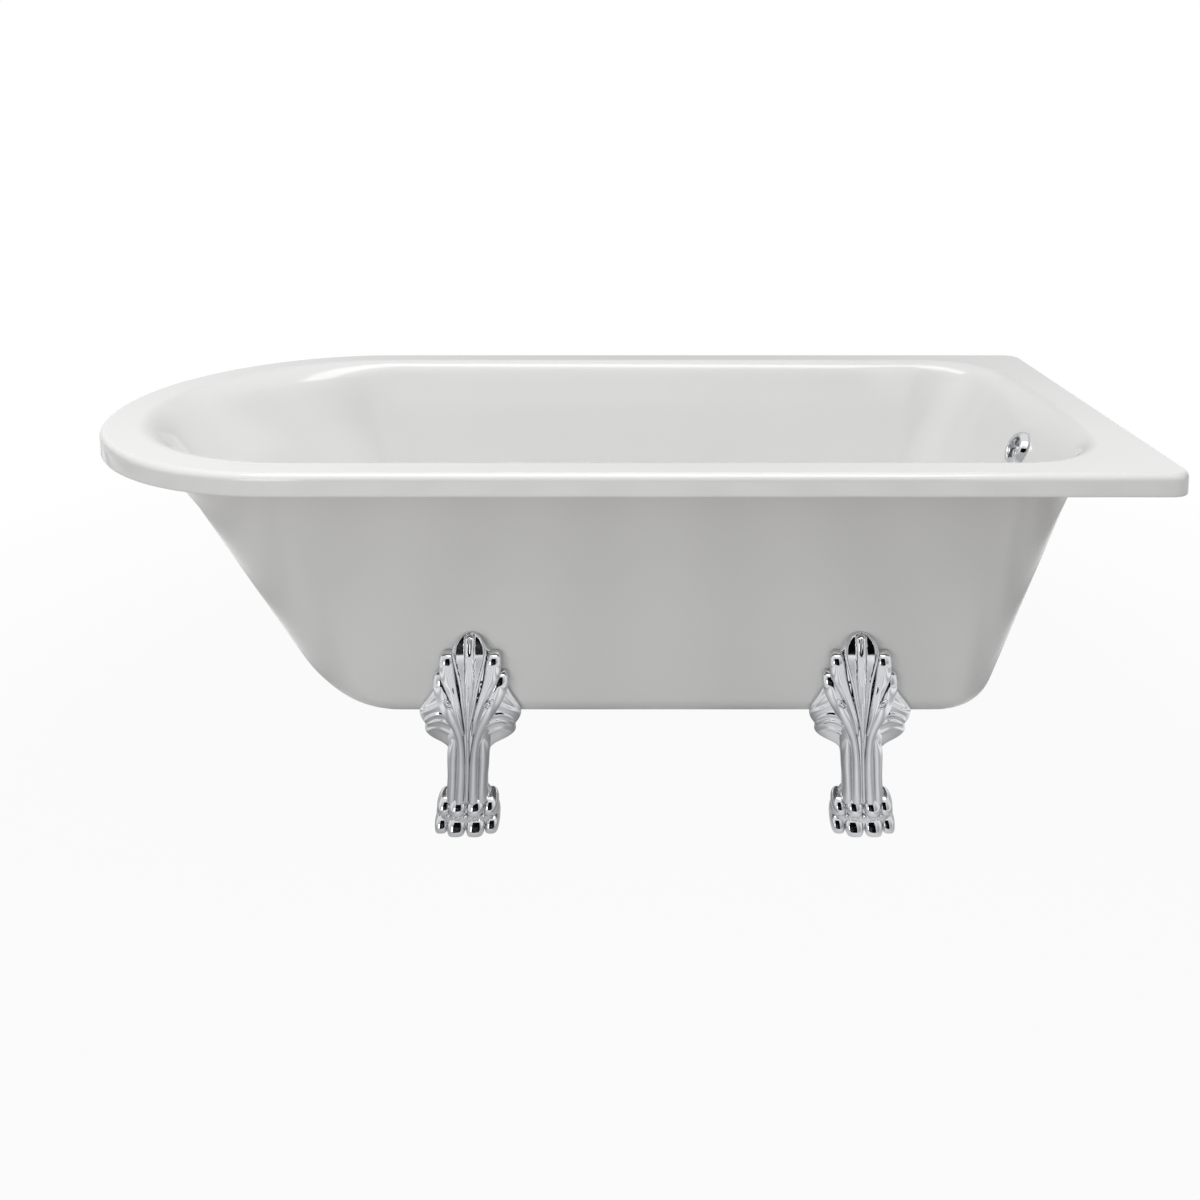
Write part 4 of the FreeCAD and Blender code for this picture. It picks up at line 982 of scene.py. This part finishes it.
    pads: Table = (
        (0, 31, 286, 4.2, 3.6, 5.5), (26.4, 30, 281.5, 4.2, 3.6, 6), (9.6, 31.4, 288, 3.2, 2.8, 4),
        (18.2, 31.4, 286, 3.2, 2.8, 4))
    toe_lean: float = 0.45
    sole: float = 2.0
    eye: tuple[float, float, float, float, float] = (31.6, 236.5, 320.8, 8.4, 4.2)
    eye_bead: tuple[float, float] = (1.3, 1.9)
    eye_pip: tuple[float, float, float, float] = (1.4, 3.4, 3.4, 2.2)
    bead_wide: float = 2.2
    bead_high: tuple[float, float] = (3.4, 1.6)
    rib_wide: float = 7.6
    rib_high: tuple[float, float] = (6.0, 1.8)
    field_deep: float = 2.4
    grooves: Table = ((316, 339, 1.0, 2.4), (238, 268, 0.9, 2.0))
    saddle: tuple[float, float, float, float] = (120, 88, 188, 200)
    saddle_back: float = 188

    def sweep(self, work: bmesh.types.BMesh, rows: Table, side: int, count: int = 22,
              square: float = 1.0) -> None:
        """Add a rounded band along its stations.

        Args:
            work: the mesh to add to.
            rows: stations (across, up, out, half width, half depth).
            side: -1 or 1.
            count: points round the band.
            square: under 1 for fuller corners.
        """
        fine = smooth_rows(rows)
        points = [Vector((side * row[0], row[2], row[1])) for row in fine]
        rings = []
        for i, (point, row) in enumerate(zip(points, fine)):
            along = points[min(i + 1, len(points) - 1)] - points[max(i - 1, 0)]
            flat = Vector((along.x, 0, along.z)).normalized()
            wide, deep = (max(half, 0.1) for half in row[3:])
            across = Vector((flat.z, 0, -flat.x)) * wide
            rings.append(ellipse(point, across, Vector((0, deep, 0)), count, square))
        add_rings(work, rings)

    def sheet(self, work: bmesh.types.BMesh, widths: Table, outs: Table, side: int, bend: float, thick: float,
              folds: tuple[tuple[Table, float, float], ...] = ()) -> None:
        """Add a leaf-like sheet whose edge follows a table and whose face may be folded.

        Args:
            work: the mesh to add to.
            widths: its reach across at each height.
            outs: how far out its face stands at each height.
            side: -1 or 1.
            bend: how far its edge falls back behind its middle.
            thick: its thickness.
            folds: lines (across, up) with a width and a height each.
        """
        low, top = widths[0][0], widths[-1][0]
        widest = max(row[1] for row in widths)
        rows, parts = 96, 48
        rings = []
        for step in range(rows + 1):
            up = low + (top - low) * step / rows
            reach, out = curve_value(widths, up), curve_value(outs, up)
            ring = []
            for i in range(parts + 1):
                share = math.sin(math.pi / 2 * i / parts)
                across = reach * share
                rise = -bend * (across / widest) ** 2 - thick * (1 - math.sqrt(max(1 - share ** 8, 0)))
                for line, wide, high in folds:
                    near = math.exp(-((up - curve_value(line, across)) / wide) ** 2)
                    rise += high * near * (1 - share ** 6)
                ring.append(Vector((side * across, out + rise, up)))
            for share in (0.97, 0.6, 0.0):
                fall = bend * (reach * share / widest) ** 2
                ring.append(Vector((side * reach * share, out - fall - thick * 1.6, up)))
            rings.append(ring)
        add_rings(work, rings)

    def ball(self, work: bmesh.types.BMesh, row: tuple[float, ...], side: int, square: float = 1.0,
             lean: float = 0.0, lower: float = 0.8) -> None:
        """Add a fat rounded form, such as a toe.

        Args:
            work: the mesh to add to.
            row: across, up, out, then its three half sizes in that order.
            side: -1 or 1.
            square: under 1 for fuller sides, as seen from above.
            lean: how far the ball's upper part lies back, per mm of height.
            lower: under 0.8 for a lower half that keeps its width, as a toe on the floor does.
        """
        across, up, out, wide, tall, deep = row
        parts = 24
        rings = []
        for step in range(1, parts):
            turn = math.pi * step / parts
            rise = -math.cos(turn)
            girth = math.sin(turn) ** (lower if rise < 0 else 0.8)
            middle = (side * across, out - lean * tall * rise, up + tall * rise)
            rings.append(oval(middle, wide * girth, deep * girth, 36, square))
        add_rings(work, rings)

    def relief(self, across: float, half: float, up: float) -> float:
        """How far the middle lobe stands proud: a bead at its edge, a hollow field and a grooved rib.

        Args:
            across: distance from its middle.
            half: its half width there.
            up: height from the floor.

        Returns:
            The height over its face, under 0 in the field.
        """
        bead = min(self.bead_wide, half * 0.34)
        from_edge = (half - abs(across)) / bead
        height = -self.field_deep * min(1.0, half / 14)
        if from_edge < 2:
            crest, root = self.bead_high
            height = max(height, crest * math.sqrt(max(1 - (from_edge - 1) ** 2, 0)) - root)
        rib = min(self.rib_wide, half * 0.46)
        if abs(across) < rib:
            crest, root = self.rib_high
            height = max(height, crest * (rib / self.rib_wide) * math.sqrt(1 - (across / rib) ** 2) - root)
        for low, high, wide, deep in self.grooves:
            fade = min(max((up - low) / 4, 0), 1) * min(max((high - up) / 4, 0), 1)
            height -= deep * fade * math.exp(-(across / wide) ** 4)
        return height

    def middle_lobe(self, work: bmesh.types.BMesh) -> None:
        """Add the leaf's middle lobe as one relief from its root to its rounded top.

        Args:
            work: the mesh to add to.
        """
        rings = []
        rows, parts = 120, 60
        top, low = self.blade[-1][0], self.blade[0][0]
        for step in range(rows + 1):
            share = step / rows
            up = low + (top - low) * (1 - (1 - share) ** 1.5)
            half = max(curve_value(self.blade, up), 0.4)
            out = curve_value(self.face_out, up)
            ring = []
            for i in range(parts + 1):
                turn = math.pi * i / parts
                across = -half * math.cos(turn) if half > 8 else half * (i / 30 - 1)
                ring.append(Vector((across, out + self.relief(across, half, up), up)))
            for share_in, drop in ((0.98, 4), (0.9, 9), (-0.9, 9), (-0.98, 4)):
                ring.append(Vector((half * share_in, out - drop, up)))
            rings.append(ring)
        add_rings(work, rings)

    def eyelet(self, work: bmesh.types.BMesh, side: int) -> None:
        """Add the almond-shaped boss on the third lobe: a bead round a small hollow and a pip.

        Args:
            work: the mesh to add to.
            side: -1 or 1.
        """
        across, up, out, long, short = self.eye
        axis = Vector((side * 0.72, -0.06, 0.69)).normalized()
        other = Vector((-side * 0.69, 0, 0.72))
        middle = Vector((side * across, out, up))
        bead_out, bead_deep = self.eye_bead
        parts = 32
        rings = []
        for step in range(parts):
            turn = math.tau * step / parts
            pinch = 1 - 0.32 * abs(math.cos(turn)) ** 3
            point = middle + axis * (long * math.cos(turn)) + other * (short * math.sin(turn) * pinch)
            away = (point - middle).normalized()
            rings.append(ellipse(point, away * bead_out, Vector((0, bead_deep, 0)), 12))
        add_rings(work, rings, looped=True)
        sunk, *sizes = self.eye_pip
        self.ball(work, (across, up, out - sunk, *sizes), side)

    def slab(self, work: bmesh.types.BMesh) -> None:
        """Add the saddle plate that is bolted up under the tub.

        Args:
            work: the mesh to add to.
        """
        wide, deep, low, high = self.saddle
        centre = self.saddle_back + deep / 2
        rings = []
        for up, inset in ((low, 1.5), (low + 1.5, 0), (high - 1.5, 0), (high - 0.1, 1.0)):
            half_x, half_y = wide / 2 - inset, deep / 2 - inset
            rings.append(oval((0, centre, up), half_x, half_y, 64, 0.16))
        add_rings(work, rings)

    def paw_body(self, work: bmesh.types.BMesh) -> None:
        """Add the paw's body, with the leveller's upright bore and seat let into its sole.

        Args:
            work: the mesh to add to.
        """
        foot = curve_value(self.lean, 0)
        rings = []
        for up, radius in self.stud_bore:
            upright = self.lean_way * (foot - curve_value(self.lean, up))
            rings.append(oval((upright, self.stud_out, up), radius, radius, 48))
        for across, up, out, wide, deep in smooth_rows(self.paw):
            rings.append(oval((across, out, up), wide, deep, 48, 0.9))
        add_rings(work, rings)

    def fill(self, work: bmesh.types.BMesh) -> None:
        """Add every form of the casting, then lean it, turn it to its side and set it in place.

        Args:
            work: the mesh to add to.
        """
        self.middle_lobe(work)
        self.sweep(work, self.shank, 1, 36, 0.8)
        self.paw_body(work)
        self.sweep(work, self.crest, 1, 12)
        self.slab(work)
        for side in (-1, 1):
            self.sheet(work, self.wing, self.wing_out, side, 5, 7, self.folds)
            self.sheet(work, self.backing, self.backing_out, side, 4, 8)
            self.sweep(work, self.outer_flute, side)
            self.sweep(work, self.third_lobe, side, 26)
            self.sweep(work, self.second_lobe, side, 26)
            self.eyelet(work, side)
            for row in self.toes:
                self.ball(work, row, side, 0.7, self.toe_lean, 0.25)
            for row in self.knuckles:
                self.ball(work, row, side, 0.85, self.toe_lean, 0.6)
        for row in self.pads:
            for side in ((-1, 1) if row[0] else (1,)):
                self.ball(work, row, side)
        for vert in work.verts:
            across, out, up = vert.co
            x = self.place + across + self.lean_way * curve_value(self.lean, up)
            vert.co = Vector((x * MM, self.face * out * MM, max(up, self.sole) * MM))

    def build(self, palette: Palette) -> None:
        """Make the foot."""
        item = mesh_object(f"claw_foot_casting_{self.label}", self.fill)
        mate(item, palette, Slot.FOOT_CHROME, [f"claw_foot_{self.label}"])


# ------------------------------------------------------------------ plug and overflow


def overflow_frame() -> Matrix:
    """Where the overflow stands: its Z axis square to the tap-end wall, pointing into the well.

    Returns:
        The overflow's frame, in metres.
    """
    deck = InnerTub.deck[1]
    slope = (InnerTub.waist.tap - deck) / InnerTub.waist.drop
    drop = 86
    x = PLAN.length / 2 - deck - slope * drop
    axis = Vector((-1, 0, slope)).normalized()
    across = Vector((0, 1, 0))
    up = axis.cross(across)
    turn = Matrix((across, -up, axis)).transposed().to_4x4()
    return Matrix.Translation(Vector((x, 0, PLAN.height - drop)) * MM) @ turn


OVERFLOW = overflow_frame()


@dataclass
class Overflow:
    """The chrome ring in the tap-end wall, with crossed bars and a screw."""

    base: float = 33
    front: float = 28
    mouth: float = 20
    lift: float = 0.5
    proud: float = 12
    bar: float = 7
    bar_thick: float = 2
    head: float = 5.5
    thread: float = 2.5
    thread_end: float = -23

    def build(self, palette: Palette) -> None:
        """Make the ring, the bars and the screw.

        Args:
            palette: where their material comes from.
        """
        top = self.lift + self.proud
        outline = rounded(((self.mouth, self.lift), (self.base, self.lift), (self.base, self.lift + 2.5),
                           (self.front, top), (self.mouth, top)), 3.2)
        mate(revolve("overflow_ring_turned", outline, OVERFLOW), palette, Slot.TRIM_CHROME, ["overflow_ring"])
        mate(mesh_object("overflow_bars_stamped", self.bars), palette, Slot.TRIM_CHROME, ["overflow_bars"])
        seat = self.lift + 1 + self.bar_thick
        dome = [(0.4, seat + 3)] + [(self.head * math.sin(t), seat + 1.2 + 1.8 * math.cos(t))
                                    for t in (0.3, 0.6, 0.9, 1.2, 1.57)]
        stem = [(self.head, seat), (self.thread, seat), (self.thread, self.thread_end),
                (0.4, self.thread_end)]
        screw = revolve("overflow_screw_turned", dome + stem, OVERFLOW, 48, closed=False)
        mate(screw, palette, Slot.TRIM_CHROME, ["overflow_screw"])

    def bars(self, work: bmesh.types.BMesh) -> None:
        """Add two crossed bars with softened edges.

        Args:
            work: the mesh to add to.
        """
        low = self.lift + 1
        reach = math.sqrt(self.mouth ** 2 - (self.bar / 2) ** 2) - 0.1
        for wide, tall in ((self.bar / 2, reach), (reach, self.bar / 2)):
            rings = []
            for height, inset in ((low, 0.3), (low + 0.3, 0), (low + self.bar_thick - 0.5, 0),
                                  (low + self.bar_thick, 0.5)):
                ring = oval((0, 0, height * MM), (wide - inset) * MM, (tall - inset) * MM, 48, 0.12)
                rings.append([OVERFLOW @ point for point in ring])
            add_rings(work, rings)


@dataclass
class Plug:
    """The plug's turned cap, which lifts out of the chrome flange in the floor."""

    lowest: float = 230.8
    profile: Table = ((0.3, 0), (27, 0), (28.6, 0.6), (29, 1.6), (28.4, 2.6), (26.4, 3.2), (20, 3.6),
                      (10, 3.9), (0.3, 4))

    def build(self, palette: Palette) -> None:
        """Make the cap.

        Args:
            palette: where its material comes from.
        """
        frame = Matrix.Translation((WASTE_X * MM, 0, 0))
        outline = [(radius, self.lowest + height) for radius, height in self.profile]
        cap = revolve("plug_cap_turned", outline, frame, closed=False)
        mate(cap, palette, Slot.TRIM_CHROME, ["plug_cap"], "plug")


# ------------------------------------------------------------------ carried nodes, stage and camera


def dress_carried(frame: dict[str, dict[str, object]], palette: Palette) -> None:
    """Give each CAD node that stays a finish of its own.

    Args:
        palette: where the materials come from.
    """
    for slot, names in CARRIED.items():
        for name in names:
            palette.dress(frame["nodes"][name], slot)
            log.info("%s: CAD shape, %s", name, slot.value)


@dataclass(frozen=True)
class Lamp:
    """One soft lamp."""

    name: str
    place: tuple[float, float, float]
    aim: tuple[float, float, float]
    size: tuple[float, float]
    watts: float

    def build(self) -> None:
        """Hang the lamp."""
        data = bpy.data.lights.new(self.name, "AREA")
        data.shape = "RECTANGLE"
        data.size, data.size_y = self.size
        data.energy = self.watts
        lamp = bpy.data.objects.new(self.name, data)
        bpy.context.scene.collection.objects.link(lamp)
        lamp.location = self.place
        lamp.rotation_euler = (Vector(self.aim) - Vector(self.place)).to_track_quat("-Z", "Y").to_euler()


@dataclass
class Studio:
    """A plain pale floor, a white surround, soft lamps and the camera.

    What mirrors see of it is set apart from what lights the bath, as painted reflections: the floor
    has light and dark strips, its part near the bath is dimmer as a painted shadow, the surround has
    soft boxes round it, and a dark cloth hangs behind the camera.  They draw the shapes in the chrome.
    """

    ambient: float = 0.40
    horizon: float = 0.72
    box_count: int = 5
    box_depth: float = 0.3
    floor_size: float = 12.0
    floor_tone: str = "#909090"
    floor_glow: float = 0.95
    strip_pitch: float = 0.2965
    strip_start: float = 0.198
    strip_light: float = 0.95
    strip_dark: float = 0.4
    strip_extra: float = 0.2
    shade_near: float = 0.45
    cloth_half: float = 1.05
    cloth_low: float = -0.25
    cloth_high: float = 2.4
    cloth_back: float = -2.35
    lamps: tuple[Lamp, ...] = (
        Lamp("overhead", (-0.1, -0.7, 2.5), (0, -0.4, 0.3), (2.6, 1.0), 29.0),
        Lamp("front_fill", (-0.9, -3.2, 0.6), (0, 0, 0.5), (2.6, 1.0), 23.0),
    )
    lens: float = 33.04
    place: tuple[float, float, float] = (0.0763, -1.8986, 1.1273)
    pitch: float = 6.57
    shift: tuple[float, float] = (-0.0423, -0.30)

    def surround(self) -> None:
        """White for the camera, paler overhead than at the horizon in a mirror, and a plain ambient light."""
        world = bpy.data.worlds.new("surround")
        bpy.context.scene.world = world
        graph = Graph("", world)
        path = graph.add("ShaderNodeLightPath")
        where = graph.add("ShaderNodeTexCoord").outputs["Generated"]
        up = graph.add("ShaderNodeSeparateXYZ", inputs={0: where}).outputs["Z"]
        rise = graph.add("ShaderNodeMapRange", inputs={
            "Value": up, "From Min": 0.05, "From Max": 0.8, "To Min": self.horizon, "To Max": 1.0}).outputs[0]
        # Painted reflection: mirrors see soft boxes round the horizon, which give no light to the bath.
        azimuth = graph.add("ShaderNodeTexGradient", {"gradient_type": "RADIAL"}, {0: where}).outputs["Fac"]
        turn = graph.add("ShaderNodeMath", {"operation": "MULTIPLY"}, {
            0: azimuth, 1: self.box_count * math.tau}).outputs[0]
        boxes = graph.add("ShaderNodeMath", {"operation": "SINE"}, {0: turn}).outputs[0]
        fade = graph.add("ShaderNodeMapRange", inputs={
            "Value": up, "From Min": 0.3, "From Max": 0.8,
            "To Min": self.box_depth, "To Max": 0.0}).outputs[0]
        seen = graph.add("ShaderNodeMath", {"operation": "MULTIPLY_ADD"}, {
            0: boxes, 1: fade, 2: rise}).outputs[0]
        mirror = graph.add("ShaderNodeMath", {"operation": "MAXIMUM"}, {
            0: path.outputs["Is Glossy Ray"], 1: path.outputs["Is Transmission Ray"]}).outputs[0]
        shine = graph.add("ShaderNodeMix", {"data_type": "FLOAT"}, {
            0: mirror, 2: self.ambient, 3: seen}).outputs[0]
        strength = graph.add("ShaderNodeMix", {"data_type": "FLOAT"}, {
            0: path.outputs["Is Camera Ray"], 2: shine, 3: 1.0}).outputs[0]
        glow = graph.add("ShaderNodeBackground", inputs={"Color": (1, 1, 1, 1), "Strength": strength})
        graph.add("ShaderNodeOutputWorld", inputs={"Surface": glow.outputs[0]})

    def floor(self) -> None:
        """A pale floor that keeps the shadow and meets the white surround without an edge."""
        half = self.floor_size / 2
        item = mesh_object("floor", lambda work: work.faces.new([work.verts.new((x * half, y * half, 0))
                           for x, y in ((-1, -1), (1, -1), (1, 1), (-1, 1))]))
        graph = Graph("floor_painted")
        graph.fill(graph.shader, {"Base Color": srgb(self.floor_tone), "Roughness": 0.9})
        path = graph.add("ShaderNodeLightPath")
        # Painted reflection: glossy rays see the floor glow a little brighter than white, in light and dark
        # strips.
        bright = graph.add("ShaderNodeMath", {"operation": "MULTIPLY_ADD"}, {
            0: path.outputs["Is Glossy Ray"], 1: self.strip_extra, 2: 1.0})
        glow = graph.add("ShaderNodeEmission", inputs={"Color": (1, 1, 1, 1), "Strength": bright.outputs[0]})
        where = graph.add("ShaderNodeTexCoord").outputs["Object"]
        away = graph.add("ShaderNodeVectorMath", {"operation": "LENGTH"}, {0: where}).outputs["Value"]
        fade = graph.add("ShaderNodeMapRange", inputs={
            "Value": away, "From Min": 1.0, "From Max": 2.2, "To Min": self.floor_glow, "To Max": 1.0})
        along = graph.add("ShaderNodeSeparateXYZ", inputs={0: where}).outputs["X"]
        turn = graph.add("ShaderNodeMath", {"operation": "MULTIPLY_ADD"}, {
            0: along, 1: math.tau / self.strip_pitch, 2: math.tau * self.strip_start / self.strip_pitch})
        wave = graph.add("ShaderNodeMath", {"operation": "COSINE"}, {0: turn.outputs[0]})
        strips = graph.add("ShaderNodeMapRange", inputs={
            "Value": wave.outputs[0], "From Min": -1.0, "From Max": 0.7,
            "To Min": self.strip_dark, "To Max": self.strip_light})
        # Painted shadow: the strips that mirrors see are dimmed near the bath, down to shade_near.
        clear = graph.add("ShaderNodeMapRange", inputs={
            "Value": away, "From Min": 0.36, "From Max": 0.75, "To Min": self.shade_near, "To Max": 1.0})
        lit = graph.add("ShaderNodeMath", {"operation": "MULTIPLY"}, {
            0: strips.outputs[0], 1: clear.outputs[0]})
        glint = graph.add("ShaderNodeMath", {"operation": "MULTIPLY"}, {
            0: path.outputs["Is Glossy Ray"], 1: lit.outputs[0]})
        seen = graph.add("ShaderNodeMath", {"operation": "MULTIPLY"}, {
            0: path.outputs["Is Camera Ray"], 1: fade.outputs[0]})
        share = graph.add("ShaderNodeMath", {"operation": "ADD"}, {0: seen.outputs[0], 1: glint.outputs[0]})
        mixed = graph.add("ShaderNodeMixShader", inputs={0: share.outputs[0], 1: graph.shader.outputs[0],
                                                         2: glow.outputs[0]})
        graph.add("ShaderNodeOutputMaterial", {"is_active_output": True}, {"Surface": mixed.outputs[0]})
        item.data.materials.append(graph.material)

    def flag(self) -> None:
        """The studio's dark end behind the camera, which only mirrors see; it draws the chrome's shapes."""
        wide, low, high = self.cloth_half, self.cloth_low, self.cloth_high
        item = mesh_object("dark_flag", lambda work: work.faces.new([
            work.verts.new((x, self.cloth_back, z))
            for x, z in ((-wide, low), (wide, low), (wide, high), (-wide, high))]))
        graph = Graph("cloth_black")
        graph.fill(graph.shader, {"Base Color": srgb("#0C0C0C"), "Roughness": 1.0, "Specular IOR Level": 0.0})
        item.data.materials.append(graph.material)
        item.visible_camera = item.visible_diffuse = item.visible_shadow = item.visible_transmission = False

    def camera(self) -> None:
        """The photograph's level view: a lens looking a little down, shifted to hold the frame."""
        data = bpy.data.cameras.new("camera")
        data.lens, data.sensor_width = self.lens, 36.0
        data.shift_x, data.shift_y = self.shift
        item = bpy.data.objects.new("camera", data)
        bpy.context.scene.collection.objects.link(item)
        item.location = self.place
        item.rotation_euler = (math.radians(90 - self.pitch), 0, 0)
        bpy.context.scene.camera = item

    def build(self) -> None:
        """Set the stage."""
        bpy.context.scene.view_settings.view_transform = "Standard"
        self.surround()
        self.floor()
        self.flag()
        self.camera()
        for lamp in self.lamps:
            lamp.build()


def main() -> None:
    """Load the frame, build and dress every piece, and set the stage."""
    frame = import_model()
    palette = Palette()
    dress_carried(frame, palette)
    InnerTub().build(palette)
    OuterSkin().build(palette)
    for face, name in ((-1, "front"), (1, "rear")):
        for way, end in ((-1, "left"), (1, "right")):
            ClawFoot(f"{name}_{end}", FOOT_PLACES[end], face, way).build(palette)
    Overflow().build(palette)
    Plug().build(palette)
    Studio().build()


if __name__ == "__main__":
    main()
